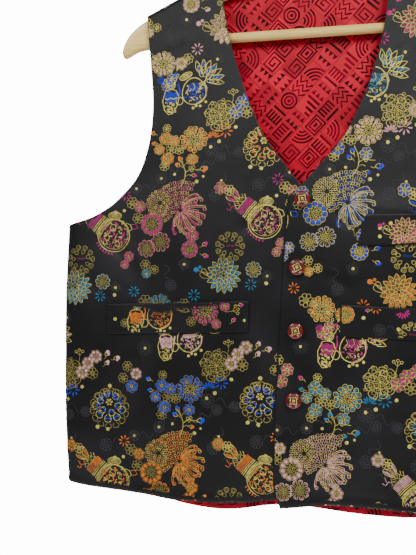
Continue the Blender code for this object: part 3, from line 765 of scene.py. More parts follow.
def aster(radius):
    art = []
    for count, reach, length, width in ((13, 0.60, 0.40, 0.36), (11, 0.36, 0.30, 0.26)):
        for index, (x, y, angle) in enumerate(around(count, reach * radius, 0.7 * reach)):
            long = length * radius * (1 + 0.14 * sin(2.9 * index))
            lean = angle + 0.15 * sin(4.1 * index)
            line(art, drop(x, y, long, width * radius, lean, 9, 0.0, 0.5), 0.75, "edge")
            inner = drop(x * 1.05, y * 1.05, 0.72 * long, 0.60 * width * radius, angle, 7)
            patch(art, inner, "silk" if reach > 0.5 or index % 3 else "olive")
    rings(art, around(8, 0.27 * radius), 0.09 * radius, 6, 0.6, "gilt")
    rings(art, [(0, 0, 0)], 0.12 * radius, 7, 0.8, "olive")
    return art


def starBurst(radius, rays=8):
    art = []
    for x, y, angle in around(rays, 0.30 * radius, 0.35):
        patch(art, drop(x, y, 0.72 * radius, 0.25 * radius, angle, 8), "silk")
    return art


def halfStar(radius):
    art = []
    for step in range(7):
        angle = radians(12 + 26 * step)
        x, y = 0.2 * radius * cos(angle), 0.2 * radius * sin(angle)
        patch(art, drop(x, y, 0.8 * radius, 0.26 * radius, angle, 8), "silk")
    return art


def shadowStar(radius, rays=18):
    # dark rays about a gold dot
    art = []
    for x, y, angle in around(rays, 0.34 * radius):
        reach = radius * (1.0 if int(angle * 10) % 2 else 0.86)
        line(art, [(x, y), (reach * cos(angle), reach * sin(angle))], 0.7, "tone")
    patch(art, ring(0, 0, 1.7, 8), "gilt")
    return art


def shadowFlower(radius):
    # a flower that shows only by its weave, with a curling stem
    art = []
    spots = list(around(9, 0.66 * radius))
    rings(art, spots, 0.24 * radius, 7, 0.8, "tone")
    rings(art, [(0, 0, 0)], 0.16 * radius, 6, 0.7, "tone")
    for x, y, angle in spots:
        line(art, [(x * 0.3, y * 0.3), (x * 0.62, y * 0.62)], 0.7, "tone")
    path = [(radius * (1.1 + 0.42 * t), radius * (0.1 + 0.55 * sin(1.25 * t)))
            for t in np.linspace(0, 5.4, 14)]
    line(art, path, 0.7, "tone")
    return art


def giltDot(radius=2.1):
    art = []
    patch(art, ring(0, 0, radius, 9), "gilt")
    return art


def bud(radius=2.4, reach=9.0):
    art = []
    patch(art, ring(0, 0.2, radius, 8), "silk")
    patch(art, ring(0.9 * radius, -0.7 * radius, 0.6 * radius, 7), "silk")
    line(art, drop(-0.3, -2.2 * radius, 2.2 * radius, 1.9 * radius, radians(90), 9), 0.8, "gilt", True)
    line(art, [(0, -1.8 * radius), (0.8, -0.7 * reach), (-0.6, -reach)], 0.7, "olive")
    return art


def sprig(size=5.0):
    art = []
    for angle in (48, 90, 132):
        x, y = size * cos(radians(angle)), size * sin(radians(angle))
        line(art, [(0, 0), (x, y)], 0.7, "olive")
        line(art, ring(x * 1.35, y * 1.35, 0.34 * size, 7), 0.75, "gilt", True)
    line(art, [(0, 0), (-0.6, -size), (-2.0, -1.9 * size)], 0.7, "olive")
    return art


def branch():
    # the stem that carries the buds between two large blooms
    art = []
    line(art, [(4, 26), (8, 35), (8.5, 42), (6, 49.5), (1.5, 57)], 0.9, "gilt")
    line(art, [(8, 40), (14, 44), (20, 43), (25, 43)], 0.8, "gilt")
    line(art, [(8, 36), (12, 38), (16, 36.5)], 0.7, "olive")
    line(art, [(6.5, 48), (10, 52), (13, 55)], 0.7, "olive")
    for x, y in ((14, 45.5), (17.5, 46), (15.5, 42.6)):
        line(art, ring(x, y, 1.6, 7), 0.7, "gilt", True)
    return art


def openPeony(radius):
    # rows of lapping scallops, each with a smaller one inside
    art = []
    for count, reach, length, width, start in ((9, 0.52, 0.48, 0.56, 0.1), (8, 0.31, 0.40, 0.45, 0.5),
                                               (5, 0.12, 0.30, 0.33, 0.2)):
        for index, (x, y, angle) in enumerate(around(count, reach * radius, start)):
            size = radius * (1 + 0.13 * sin(2.3 * index))
            lean = angle + 0.22 * sin(3.1 * index)
            line(art, drop(x, y, length * size, width * size, lean, 11, 0.0, 0.7), 0.8, "olive")
            inner = drop(x * 1.1, y * 1.1, 0.55 * length * size, 0.46 * width * size, lean, 8, 0.0, 0.8)
            line(art, inner, 0.55, "olive")
    rings(art, around(3, 0.07 * radius), 0.06 * radius, 6, 0.7, "gilt")
    rings(art, around(8, 0.98 * radius, 0.55), 0.10 * radius, 7, 0.7, "olive")
    return art


def chrysanthemum(radius):
    # a dome of small scales on one side of the eye, long loose petals with hooked tips on the other
    art = []
    unit = radius / 31.0
    eyeX, eyeY = 3.0 * unit, -1.0 * unit
    for row in range(1, 12):
        reach = 3.0 * row * unit
        count = max(4, int(2.75 * reach / (3.3 * unit)))
        for step in range(count):
            degree = 62 + (step + 0.5 * (row % 2)) * 158 / count
            edge = (31.5 if degree < 150 else 20.0) * unit
            angle = radians(degree) + 0.05 * sin(1.3 * row + step)
            x, y = eyeX + reach * cos(angle), eyeY + reach * sin(angle)
            if reach > edge or (x + 20 * unit) ** 2 + (y - 9 * unit) ** 2 < (12.5 * unit) ** 2:
                continue
            long, wide = (3.9 + 0.5 * sin(2.1 * step)) * unit, (2.7 + 0.07 * row) * unit
            scale = drop(x, y, long, wide, angle, 7, 0.0, 0.8)
            line(art, scale, 0.62, ("pale", "silk", "gilt", "pale")[(row + 2 * step) % 4])
    for row in range(5):  # a smaller bloom against its side
        reach = (2.0 + 2.5 * row) * unit
        for x, y, angle in around(5 + 4 * row, reach, 0.4 * row):
            if x < 7 * unit:
                scale = drop(x - 20 * unit, y + 9 * unit, 3.3 * unit, 2.9 * unit, angle, 7, 0.0, 0.8)
                line(art, scale, 0.75, ("gilt", "olive", "pale")[(row + int(3 * angle)) % 3])
    for step in range(17):
        degree = -134 + step * 12.2 + 4.0 * sin(5.0 * step)
        heading = radians(degree)
        length = (16.0 + 9.5 * abs(sin(1.7 * step))) * unit
        bend = 0.9 - 0.009 * (degree + 132)
        x, y = eyeX + 3.0 * unit * cos(heading), eyeY + 3.0 * unit * sin(heading)
        path = [(x, y)]
        for part in range(6):
            heading += bend * 0.07 * part
            x, y = x + length / 6 * cos(heading), y + length / 6 * sin(heading)
            path.append((x, y))
        side = 1 if bend > 0.1 else -1
        for part in range(6):
            heading += side * 0.78
            x, y = x + 1.35 * unit * cos(heading), y + 1.35 * unit * sin(heading)
            path.append((x, y))
        line(art, path, 0.85, ("pale", "silk", "pale")[step % 3])
        asideX, asideY = -1.9 * unit * sin(radians(degree)), 1.9 * unit * cos(radians(degree))
        aside = [(px + asideX, py + asideY) for px, py in path[1:7]]
        line(art, aside + [path[8]], 0.75, ("gilt", "pale")[step % 2])
        patch(art, ring(x, y, 1.0 * unit, 6), "silk")
    for step in range(9):  # short petals between the long ones
        degree = -110 + step * 21
        petal = drop(eyeX + 4 * unit * cos(radians(degree)), eyeY + 4 * unit * sin(radians(degree)),
                     (10 + 3 * sin(2.2 * step)) * unit, 2.8 * unit, radians(degree), 9, 0.5)
        line(art, petal, 0.7, "silk" if step % 2 else "pale", True)
    for x, y, angle in around(7, 1.6 * unit):
        petal = drop(eyeX + x, eyeY + y, 2.6 * unit, 1.1 * unit, angle, 6)
        patch(art, petal, "gilt" if angle > 3 else "silk")
    return art


def lotus(radius):
    # a full bloom of pointed petals, brighter low on one side
    art = []
    for count, tip, length, width, start in ((15, 1.0, 0.37, 0.27, 0.1), (13, 0.77, 0.34, 0.25, 0.3),
                                             (10, 0.55, 0.30, 0.23, 0.0), (6, 0.33, 0.24, 0.19, 0.4)):
        for x, y, angle in around(count, tip * radius, start):
            low = angle < 0.7 or angle > 3.5
            long, wide = length * radius, width * radius
            yarn = "gilt" if low or count % 2 else "olive"
            line(art, drop(x, y, long, wide, angle + pi, 9), 0.65, yarn, True)
            inner = drop(x * 0.96, y * 0.96, 0.72 * long, 0.70 * wide, angle + pi, 7)
            patch(art, inner, "silk" if low else "silkDim")
    for x, y, length, width, angle, count, yarn in ((-0.8, -0.1, 0.62, 0.36, 150, 10, "olive"),
                                                    (-0.9, 0.05, 0.5, 0.26, 128, 9, "gilt")):
        leaf = drop(x * radius, y * radius, length * radius, width * radius, radians(angle), count)
        line(art, leaf, 0.7, yarn, True)
    patch(art, ring(-1.55 * radius, 0.42 * radius, 0.15 * radius, 8), "silk")
    patch(art, ring(-1.32 * radius, 0.55 * radius, 0.10 * radius, 7), "silk")
    line(art, [(-1.5 * radius, 0.4 * radius), (-1.05 * radius, 0.2 * radius)], 0.7, "olive")
    return art


def roundPeony(radius):
    # crescents of silk inside gold scallops, about a small rosette that sits high
    art = []
    highY = 0.30 * radius
    for x, y, angle in around(14, 0.74 * radius, 0.1):
        line(art, drop(x, y, 0.30 * radius, 0.36 * radius, angle, 8, 0.0, 0.8), 0.75, "olive")
    for row, (reach, count) in enumerate(((0.62, 9), (0.38, 6))):
        for x, y, angle in around(count, reach * radius, 0.35 + 0.4 * row):
            middleX, middleY = x, y + highY * (0.35 + 0.4 * row)
            size = (0.40 - 0.06 * row) * radius
            innerX, innerY = middleX * 0.72, (middleY - highY) * 0.72 + highY
            scallop = drop(innerX, innerY, size * 1.1, size, angle, 10, 0.0, 0.6)
            line(art, scallop, 0.8, "gilt" if 3.0 < angle or row else "olive")
            tangent = angle + pi / 2
            for side in (-1, 1):
                heading = tangent + (0 if side > 0 else pi)
                dab = drop(middleX, middleY, 0.17 * radius, 0.13 * radius, heading, 7, -0.5 * side)
                patch(art, dab, "silk")
    for step in range(9):
        angle = radians(96 + 11 * step)
        ray = [(reach * cos(angle), reach * sin(angle)) for reach in (0.62 * radius, 0.98 * radius)]
        line(art, ray, 0.6, "olive")
    for x, y, angle in around(6, 0.14 * radius):
        patch(art, ring(x, y + highY, 0.055 * radius, 6), "gilt")
    line(art, ring(0, highY, 0.07 * radius, 6), 0.7, "gilt", True)
    return art


def shadowRose(radius):
    art = []
    for x, y, angle in around(11, 0.66 * radius):
        line(art, drop(x, y, 0.36 * radius, 0.38 * radius, angle, 9), 0.7, "olive", True)
        line(art, drop(x * 1.12, y * 1.12, 0.2 * radius, 0.18 * radius, angle, 7), 0.5, "olive", True)
    for x, y, angle in around(7, 0.40 * radius, 0.3):
        line(art, drop(x, y, 0.30 * radius, 0.28 * radius, angle, 8), 0.7, "olive", True)
    for step in range(6):
        lean = radians(84 - 7 * step)
        dab = drop((step - 2.5) * 0.08 * radius, -0.04 * radius, 0.22 * radius, 0.07 * radius, lean, 6)
        patch(art, dab, "silkDim")
    return art


def jug():
    # a round jug lying aslant with flowers in its neck
    art = []
    line(art, ring(0, 0, 18.2, 26), 1.0, "gilt", True)
    line(art, ring(0.8, 0.6, 16.4, 22), 0.55, "gilt", True)
    scribble(art, 0.5, 0, 15.2, 58, ("pale", "silk", "gilt", "pale", "silk", "pale", "gilt"), 5.6)
    for x, y, size in ((-6, 5, 3.0), (6.5, 6, 3.4), (-4, -9, 2.6)):
        line(art, ring(x, y, size, 10), 0.8, "gilt", True)
    for step in range(7):
        angle = radians(150 + 10 * step)
        patch(art, drop(18.8 * cos(angle), 18.8 * sin(angle), 3.4, 1.9, angle + 0.5, 7), "silk")
    for step in range(5):
        level = 11.5 + 1.45 * step
        half = 12.4 - 0.35 * step
        line(art, [(-half, level), (-half / 2, level + 0.9), (0, level + 1.2), (half / 2, level + 0.9),
                   (half, level)], 0.9, "olive" if step % 2 else "gilt")
    for level in (20.0, 22.0):
        line(art, [(-10.6, level), (0, level + 0.7), (10.6, level)], 1.1, "gilt")
    for level in (24.0, 25.5, 27.0, 28.5, 30.0):
        line(art, [(-10.0, level), (0, level + 0.6), (10.0, level)], 1.3, "silk")
    zigzag = [(-9 + 2.6 * step, 32.2 + (4.2 if step % 2 else 0.0)) for step in range(8)]
    line(art, zigzag, 1.0, "gilt")
    line(art, [(x * 0.8, y + 2.6) for x, y in zigzag], 0.8, "gilt")
    line(art, [(-8, 31.6), (8, 31.6)], 0.8, "gilt")
    for lean in (-1, 1):
        for step in range(4):
            x = lean * (1.4 + 0.5 * step)
            line(art, [(x, 39 + 2.2 * step), (x + lean * 3.2, 42.5 + 2.2 * step)], 1.2, "silk")
        line(art, drop(lean * 1.4, 36.6, 14.5, 6.0, radians(90 - lean * 14), 11), 0.75, "gilt", True)
    art += laidAt(outlineFlower(6.0, 7, "gilt"), 2.2, 52)
    art += laidAt(dotFlower(6.6, 7), -2.0, 61)
    patch(art, ring(4.6, 66.0, 1.5, 7), "gilt")
    patch(art, ring(17.8, 12.5, 4.6, 12, 0.55, radians(-52)), "olive")
    for size in (7.4, 5.9, 3.4):
        line(art, ring(17.8, 12.5, size, 14, 0.60, radians(-52)), 0.8, "gilt", True)
    line(art, [(13.5, -10.5), (18.5, -12), (21.0, -7.5), (19.5, -2.5), (15.8, -3.5)], 0.9, "gilt")
    line(art, [(19, -13), (23.5, -16.5), (25.5, -12), (22, -8.5)], 0.9, "silk")
    line(art, [(-4, 34), (-11, 38.5), (-9, 44)], 0.9, "silk")
    line(art, [(-8.5, 38), (-14, 37), (-15, 41)], 0.9, "silk")
    return art


def pot():
    # a lidded pot with a water lily in its handle, a small vase beside it
    art = []
    body = [(13.5 * cos(t) * (1 - 0.12 * sin(t)), 15.5 * sin(t))
            for t in np.linspace(0, 2 * pi, 24, endpoint=False)]
    line(art, body, 1.2, "gilt", True)
    line(art, [(11.9, 10), (14.6, 2), (12.8, -7), (8, -12), (2, -14.6)], 1.5, "pale")
    for step in range(7):
        x = -7.5 + 2.3 * step
        yarn = "silk" if step % 3 else "pale"
        line(art, [(x, 9.5 - abs(x) * 0.2), (x + 2.2, 4.5), (x - 0.8, 0.5)], 1.35, yarn)
    scribble(art, 0.5, -4.0, 10.0, 30, ("silk", "silk", "pale", "olive", "silk"), 5.0, 0.8)
    scribble(art, 7.5, 4.0, 4.5, 9, ("gilt", "olive"), 4.0)
    line(art, ring(-8, 18.5, 7.4, 16, 0.44, radians(24)), 1.2, "gilt", True)
    line(art, ring(-8, 18.5, 5.2, 12, 0.36, radians(24)), 1.0, "olive", True)
    line(art, ring(-8, 18.5, 3.0, 10, 0.30, radians(24)), 0.9, "gilt", True)
    for count, reach, size in ((7, 24.0, 12.5), (6, 18.5, 11.0), (4, 12.5, 8.5)):
        for step in range(count):
            angle = radians(-14 + step * 118 / (count - 1))
            x, y = 11 + reach * cos(angle), 11 + reach * sin(angle)
            line(art, drop(x, y, size, size * 0.50, angle + pi + 0.1 * sin(3 * step), 10), 0.85, "gilt", True)
            if step % 2 or reach < 14:
                inner = drop(11 + 0.93 * (x - 11), 11 + 0.93 * (y - 11), size * 0.6, size * 0.24,
                             angle + pi, 7)
                patch(art, inner, "silk")
    line(art, [(16, 15), (13, 10), (12, 6)], 1.0, "gilt")
    vase = [(-20, 3), (-25, 5.5), (-32, 4), (-36, -7), (-34.5, -18), (-30, -24), (-25, -23), (-20, -15),
            (-17.5, -5)]
    line(art, vase, 1.1, "gilt", True)
    for step in range(7):
        level = -1.7 * step
        line(art, [(-34.2 + 0.35 * step, level + 2), (-30.5, level + 0.3), (-27, level + 2.2),
                   (-23.5, level + 0.3), (-19.7, level + 2)], 1.5, "pale" if step == 4 else "silk")
    scribble(art, -27.5, -15.5, 6.4, 19, ("gilt", "gilt", "olive"), 4.4, 0.9)
    line(art, ring(-28, -19.5, 3.0, 9, 0.7), 0.9, "gilt", True)
    for lean, reach in ((-4, 12), (2, 23), (7, 16)):
        line(art, [(-26, 5), (-26 + lean * 0.6, 10), (-26 + lean * 1.2, reach + 2)], 0.8, "gilt")
        line(art, drop(-26 + lean * 1.2, reach + 1.6, 4.4, 2.8, radians(90 - 2 * lean), 7), 0.8, "gilt", True)
    scribble(art, -25, 9.5, 3.6, 6, ("gilt", "olive"), 3.6)
    line(art, ring(-25, 9.5, 4.2, 10, 1.2, radians(-30)), 0.9, "gilt", True)
    patch(art, ring(-19, 22, 2.1, 8), "silk")
    patch(art, drop(-18, 25, 4.6, 2.0, radians(66), 7), "gilt")
    line(art, [(-19, 13), (-19, 19)], 0.9, "silk")
    patch(art, ring(-36, 17, 4.4, 10), "silkDim")
    line(art, [(-17.5, 11), (-16.2, 3), (-17.8, -5)], 2.3, "silk")
    line(art, ring(-17, -9.5, 4.2, 11, 1.1), 1.0, "gilt", True)
    for x, y in ((-2, -19.5), (6, -18), (12.5, -14), (1.5, -17.2)):
        patch(art, ring(x, y, 1.7, 7), "gilt")
    return art


# One repeat of the cloth: for each motif its places, as across, up, size and turn in degrees
repeat = {"across": 170.0, "up": 278.0}
repeatMotifs = {
    "chrysanthemum": [(-1, -1, 31, 0)],
    "ringFlower": [(-30, -14, 12.0, 0), (13, -46, 8.8, 10)],
    "dotFlower": [(-44, 7, 6.4, 0), (-56, -48, 5.8, 0), (-61, -57, 5.0, 25), (16, -31, 6.8, 0),
                  (-36, -69, 5.0, 10), (-18, 83, 7.2, 0), (-8, 79, 6.2, 0), (-15, 59, 7.2, 0),
                  (-25, 71, 5.8, 0), (13, 55, 6.4, 0), (60, 103, 7.4, 0), (67, 113, 7.0, 0),
                  (76, 120, 7.2, 0), (-1, -110, 7, 0), (-17, 145, 6.4, 0), (-12, 152, 5.6, 20),
                  (-52, 84, 7.0, 0), (-47, 98, 6.4, 0)],
    "outlineFlower": [(-53, 12, 7.0, 0), (-46, -6, 6.4, 20), (-37, -59, 5.8, 0), (-27, -65, 5.2, 10),
                      (-11, 70, 6.6, 0), (-2, 68, 5.8, 0), (-18, 51, 6.0, 10), (-17, 95, 5.0, 0),
                      (72, 101, 7.0, 0), (7, -106, 6.4, 0), (-37, -100, 8, 0), (-57, 107, 6.0, 0),
                      (-62, 94, 6.0, 0)],
    "scallopFlower": [(-20, -35, 10.5, 0), (-36, -41, 9.5, 15), (84, -74, 8.4, 0)],
    "sprig": [(7, -27, 0.7, 30), (57, 122, 0.9, 0)],
    "bud": [(31, -41, 0.9, -60), (32, -55, 0.9, -110), (-34, 92, 0.8, 60), (-32, 79, 0.8, 80),
            (-1, 58, 0.9, 30), (-4, 51, 0.9, 60), (28, 43, 1.2, -80), (17, 36, 0.8, -100),
            (90, 124, 1.0, -30), (90, 113, 0.9, -50), (102, 117, 1.0, -75)],
    "shadowRose": [(58, -47, 16, 0)],
    "lotus": [(51, -78, 19.5, 0)],
    "starBurst": [(81, -90, 6.6, 0), (-61, 22, 6.6, 10), (49, 83, 7.8, 20), (18, -97, 7.0, 0),
                  (-50, -88, 6.2, 0)],
    "giltDot": [(-72, -90, 1, 0), (19, 29, 1, 0), (-72, 3, 1, 0), (-62, 4, 0.9, 0), (33, 67, 1, 0),
                (42, 72, 1, 0), (60, 86, 1, 0), (-49, 28, 0.8, 0), (-21, 37, 0.8, 0), (-78, 86, 1.1, 0),
                (-92, 39, 1.1, 0), (-80, 36, 1.0, 0), (-6, 40, 0.8, 0), (26, 34, 0.7, 0)],
    "jug": [(-74, -23, 1.02, 48)],
    "shadowStar": [(7, -62, 7.5, 0), (-37, 126, 9.5, 0), (-71, -82, 7.0, 0), (40, -112, 8, 0)],
    "pot": [(13, 134, 1, 0)],
    "openPeony": [(43, 102, 17.5, 0)],
    "aster": [(14, 78, 15, 0), (-21, -107, 14, 30)],
    "branch": [(0, 0, 1, 0)],
    "halfStar": [(35, 77, 8.0, 0)],
    "roundPeony": [(-78, 60, 22, 0)],
    "shadowFlower": [(-49, 28, 6.5, 0), (-21, 37, 7.0, 30), (-82, 18, 8.0, 10), (34, 64, 8.5, -10),
                     (44, 54, 6.5, 200), (-8, -84, 7.0, 100), (64, 57, 6.5, 20), (40, 12, 7.5, 60),
                     (70, -8, 6.0, 150)],
}
drawings = {draw.__name__: draw for draw in (
    chrysanthemum, ringFlower, dotFlower, outlineFlower, scallopFlower, shadowRose, lotus, starBurst,
    halfStar, shadowStar, openPeony, aster, roundPeony, shadowFlower)}
ownSize = {draw.__name__: draw for draw in (branch, giltDot, bud, sprig, jug, pot)}


def drawMotif(kind, size, turn):
    if kind in ownSize:
        return laidAt(ownSize[kind](), 0, 0, size, radians(turn))
    return laidAt(drawings[kind](size), 0, 0, 1.0, radians(turn))


# How the cloth was laid when each piece was cut: where a chrysanthemum falls, how the repeat runs and
# pulls askew with height (tilt, drift, slide), and the colours of the weft up to each height.
cuts = {
    "rightFront": {
        "origin": (-134, -265), "across": (1.0, 0.0), "up": (-0.02, 1.0), "size": 1.0, "turn": 0.076,
        "tilt": [(-278, 0.069), (-175, 0.096), (0, 0.108)],
        "bands": [(-504, "orange"), (-452, "blue"), (-394, "pink"), (-330, "teal"), (-222, "magenta"),
                  (-168, "orange"), (-102, "blue"), (-30, "pink"), (60, "magenta")]},
    "leftFront": {
        "origin": (49, -269), "across": (1.1, 0.0), "up": (0.075, 0.98), "size": 1.02, "turn": -0.06,
        "tilt": [(-210, -0.16), (-100, -0.13), (-30, -0.06)],
        "drift": [(-290, 5), (-230, 1), (-80, 0), (-38, 8), (0, 15), (30, 10), (78, 13), (129, 9)],
        "slide": [(-290, 4), (-200, 7), (-90, 9), (-30, 4), (0, 0), (40, 1), (80, -2), (102, -5), (129, 0)],
        "bands": [(-508, "pink"), (-452, "teal"), (-388, "magenta"), (-322, "orange"), (-190, "blue"),
                  (-138, "pink"), (-90, "teal"), (-20, "magenta"), (60, "orange")]},
    "back": {
        "origin": (-30, -250), "across": (1.0, 0.0), "up": (0.0, 1.0), "size": 1.0, "turn": 0.0,
        "bands": [(-540, "magenta"), (-478, "teal"), (-420, "pink"), (-362, "blue"), (-300, "orange"),
                  (-196, "magenta"), (-134, "teal"), (-76, "pink"), (-14, "blue"), (60, "orange")]},
    # motif, x, z, size, turn, colour
    "weltRight": {"own": [
        ("halfStar", -201, -366, 8, 180, "blue"), ("giltDot", -202, -389, 1, 0, "blue"),
        ("outlineFlower", -191, -393, 5, 0, "blue"), ("bud", -171, -384, 0.7, 70, "orange"),
        ("pot", -152, -383, 1.0, 0, "orange"), ("aster", -101, -377, 15, 0, "magenta"),
        ("dotFlower", -88, -391, 5.4, 0, "magenta"), ("outlineFlower", -116, -389, 5.6, 0, "magenta"),
        ("dotFlower", -79, -371, 5.6, 0, "magenta"), ("bud", -68, -385, 0.8, -40, "magenta"),
        ("bud", -60, -369, 0.8, -80, "magenta"), ("sprig", -70, -376, 0.9, -70, "magenta"),
        ("giltDot", -57, -386, 0.8, 0, "magenta")]},
    "weltLeft": {"own": [
        ("ringFlower", 52, -376, 9, 0, "orange"), ("bud", 74, -371, 0.7, 90, "magenta"),
        ("giltDot", 71, -379, 1, 0, "orange"), ("giltDot", 108, -390, 1, 0, "orange"),
        ("halfStar", 112, -371, 8, 200, "magenta"),
        ("shadowRose", 122, -396, 14, 0, "magenta"), ("starBurst", 84, -368, 6.5, 0, "orange"),
        ("openPeony", 168, -372, 15, 0, "magenta"), ("dotFlower", 190, -392, 7, 0, "teal"),
        ("dotFlower", 182, -384, 5, 0, "teal"), ("shadowFlower", 88, -391, 7, 0, "orange"),
        ("giltDot", 143, -374, 0.9, 0, "teal")]},
    "weltBreast": {"own": [
        ("lotus", 112, -288, 17, 0, "magenta"), ("giltDot", 86, -283, 1, 0, "blue"),
        ("giltDot", 86, -292, 1, 0, "blue"), ("giltDot", 97, -278, 1, 0, "blue"),
        ("dotFlower", 134, -292, 6.5, 0, "magenta"), ("bud", 145, -284, 0.9, -60, "magenta"),
        ("sprig", 128, -279, 0.9, -20, "magenta"), ("starBurst", 152, -276, 6.5, 0, "blue")]},
}


def bandColour(bands, z):
    for top, colour in bands:
        if z < top:
            return colour
    return bands[-1][1]


def paintedGoldLightAt(cut, spot):
    # painted light: the gold thread is made brighter high up and on the wearer's left, where more light falls
    # on it
    if cut in ("leftFront", "weltLeft", "weltBreast"):
        return float(0.90 - 0.35 * smooth((-420 - spot[1]) / 120))
    return float(0.25 + 0.65 * smooth((spot[1] + 330) / 170) + 0.35 * smooth((spot[0] + 110) / 90))


# how much of the silk is seen in a pale line
paleShare = {"magenta": 0.6, "teal": 0.4, "orange": 0.75, "blue": 0.25, "pink": 0.6}


def dyeFor(yarn, colour, paintedGoldLight):
    silk, gilt, olive = np.array(dyes[colour]), np.array(dyes["gilt"]), np.array(dyes["olive"])
    # olive, edge, pale and gilt yarns take this painted light; silk, dim silk and tone do not
    paintedGoldLight = min(paintedGoldLight, 1.0)
    if yarn == "silk":
        return silk
    if yarn == "silkDim":
        return 0.45 * silk
    if yarn == "olive":
        return olive + 0.75 * paintedGoldLight * (gilt - olive)
    if yarn == "tone":
        return np.array(dyes["tone"])
    if yarn == "edge":
        return 0.42 * (1 - paintedGoldLight) * silk + paintedGoldLight * gilt
    gilt = gilt * (0.62 + 0.38 * paintedGoldLight)
    if yarn == "pale":
        share = paleShare[colour]
        return share * silk + (1 - share) * gilt
    return gilt


relief = {"crest": 0.34, "patch": 0.32, "patchMiddle": 0.38, "patchFlat": 0.62, "lineShare": 0.86}


def meshLine(points, width, closed):
    # a low ridge of yarn along the line: left edge, crest, right edge
    if closed:
        ahead, behind = np.roll(points, -1, axis=0), np.roll(points, 1, axis=0)
    else:
        ahead = np.vstack([points[1:], points[-1:]])
        behind = np.vstack([points[:1], points[:-1]])
    heading = ahead - behind
    heading /= np.maximum(np.linalg.norm(heading, axis=1, keepdims=True), 1e-9)
    aside = np.stack([-heading[:, 1], heading[:, 0]], axis=1) * width / 2
    count = len(points)
    flat = np.concatenate([points + aside, points, points - aside])
    lift = np.repeat([0.0, relief["crest"], 0.0], count)
    faces = []
    for index in range(count if closed else count - 1):
        after = (index + 1) % count
        faces.append((index, index + count, after + count, after))
        faces.append((index + count, index + 2 * count, after + 2 * count, after + count))
    return flat, lift, faces


def meshPatch(outline):
    count = len(outline)
    middle = outline.mean(axis=0)
    flat = np.concatenate([outline, middle + relief["patchFlat"] * (outline - middle), middle[None]])
    lift = np.repeat([0.0, relief["patch"], relief["patchMiddle"]], [count, count, 1])
    faces = []
    for index in range(count):
        after = (index + 1) % count
        faces.append((index, after, after + count, index + count))
        faces.append((index + count, after + count, 2 * count))
    return flat, lift, faces


def insidePolygon(x, z, outline):
    inside = np.zeros(np.shape(x), bool)
    for (ax, az), (bx, bz) in zip(outline, np.roll(outline, -1, axis=0)):
        if az != bz:
            inside ^= ((az > z) != (bz > z)) & (x < (bx - ax) * (z - az) / (bz - az) + ax)
    return inside


def joined(parts):
    # points, heights and faces of many small meshes as one
    faces, base = [], 0
    for flat, lift, own in parts:
        faces += [tuple(index + base for index in face) for face in own]
        base += len(flat)
    return np.concatenate([part[0] for part in parts]), np.concatenate([part[1] for part in parts]), faces


def keptInside(x, z, faces, outline, holes=()):
    # the faces that lie inside the outline and outside the holes, with their points numbered anew
    good = insidePolygon(x, z, outline)
    for hole in holes:
        good &= ~insidePolygon(x, z, hole)
    kept = [index for index, face in enumerate(faces) if all(good[corner] for corner in face)]
    used = np.unique(np.concatenate([faces[index] for index in kept]))
    renumber = np.full(len(x), -1)
    renumber[used] = np.arange(len(used))
    return used, kept, [tuple(int(renumber[corner]) for corner in faces[index]) for index in kept]


sideAngles = np.linspace(0, pi / 2, 60)
sideDepth = 11.5    # half the garment's depth where the side starts to round
outOfSight = 400.0  # where points past the side seam go


def roundTheSide(x, z):
    # cloth near the side seam runs round it, so flat distances are longer than they look from the front
    radius = garment["sideRound"]
    steps = np.hypot(radius * np.diff(np.sin(sideAngles)), sideDepth * np.diff(np.cos(sideAngles)))
    arc = np.concatenate([[0.0], np.cumsum(steps)])
    start = np.interp(z, seamLine[:, 1], seamLine[:, 0]) - radius
    past = np.abs(x) - start
    angle = np.interp(past, arc, sideAngles, right=pi)
    bent = np.where(past > 0, start + radius * np.sin(angle), np.abs(x))
    bent = np.where(angle > pi / 2 + 0.01, outOfSight, bent)
    return np.where(z < seamLine[-1, 1], np.sign(x) * bent, x)


motifReach = 60  # a motif whose middle is this far outside may still reach in


def repeated(cutting, low, top):
    # every motif of the repeat that falls between two corners, in the colour of its band
    across, up = np.array(cutting["across"]), np.array(cutting["up"])
    tilt, drift, slide = (np.array(cutting.get(key, [(0, 0)])) for key in ("tilt", "drift", "slide"))
    placed = []
    for column in range(-5, 6):
        for row in range(-4, 5):
            for kind, places in repeatMotifs.items():
                for u, v, size, turn in places:
                    right, high = u + column * repeat["across"], v + row * repeat["up"]
                    spot = cutting["origin"] + right * across + high * up
                    spot[0] += np.interp(high, *slide.T)
                    spot[1] += right * np.interp(high, *tilt.T) + np.interp(high, *drift.T)
                    if (low < spot).all() and (spot < top).all():
                        placed.append((kind, spot, size, turn, bandColour(cutting["bands"], spot[1])))
    return placed


def makeMotifs(cut, outline, holes=()):
    # stamps the motifs on a piece and keeps what falls inside its outline
    cutting = cuts[cut]
    across, up = np.array((1.0, 0.0)), np.array((0.0, 1.0))
    if "own" in cutting:
        placed = [(kind, np.array((x, z)), *rest) for kind, x, z, *rest in cutting["own"]]
    else:
        placed = repeated(cutting, outline.min(axis=0) - motifReach, outline.max(axis=0) + motifReach)
        size, lean = cutting["size"], cutting["turn"]
        across, up = size * np.array((1.0, lean)), size * np.array((-lean, 1.0))
    parts, colours, gilts = [], [], []
    for kind, spot, size, turn, colour in placed:
        for part, points, width, yarn, closed in drawMotif(kind, size, turn):
            thin = relief["lineShare"] * width
            flat, lift, own = meshLine(points, thin, closed) if part == "line" else meshPatch(points)
            parts.append((spot + flat[:, :1] * across + flat[:, 1:] * up, lift, own))
            colours.append(np.tile(dyeFor(yarn, colour, paintedGoldLightAt(cut, spot)), (len(flat), 1)))
            gilts += [1 if yarn in ("gilt", "olive", "edge") else 0] * len(own)
    flats, lifts, faces = joined(parts)
    x, z = flats[:, 0], flats[:, 1]
    if "own" not in cutting:
        x = roundTheSide(x, z)
    used, kept, faces = keptInside(x, z, faces, outline, holes)
    colours = np.concatenate(colours)[used]
    return x[used], z[used], lifts[used], faces, colours, [gilts[index] for index in kept]


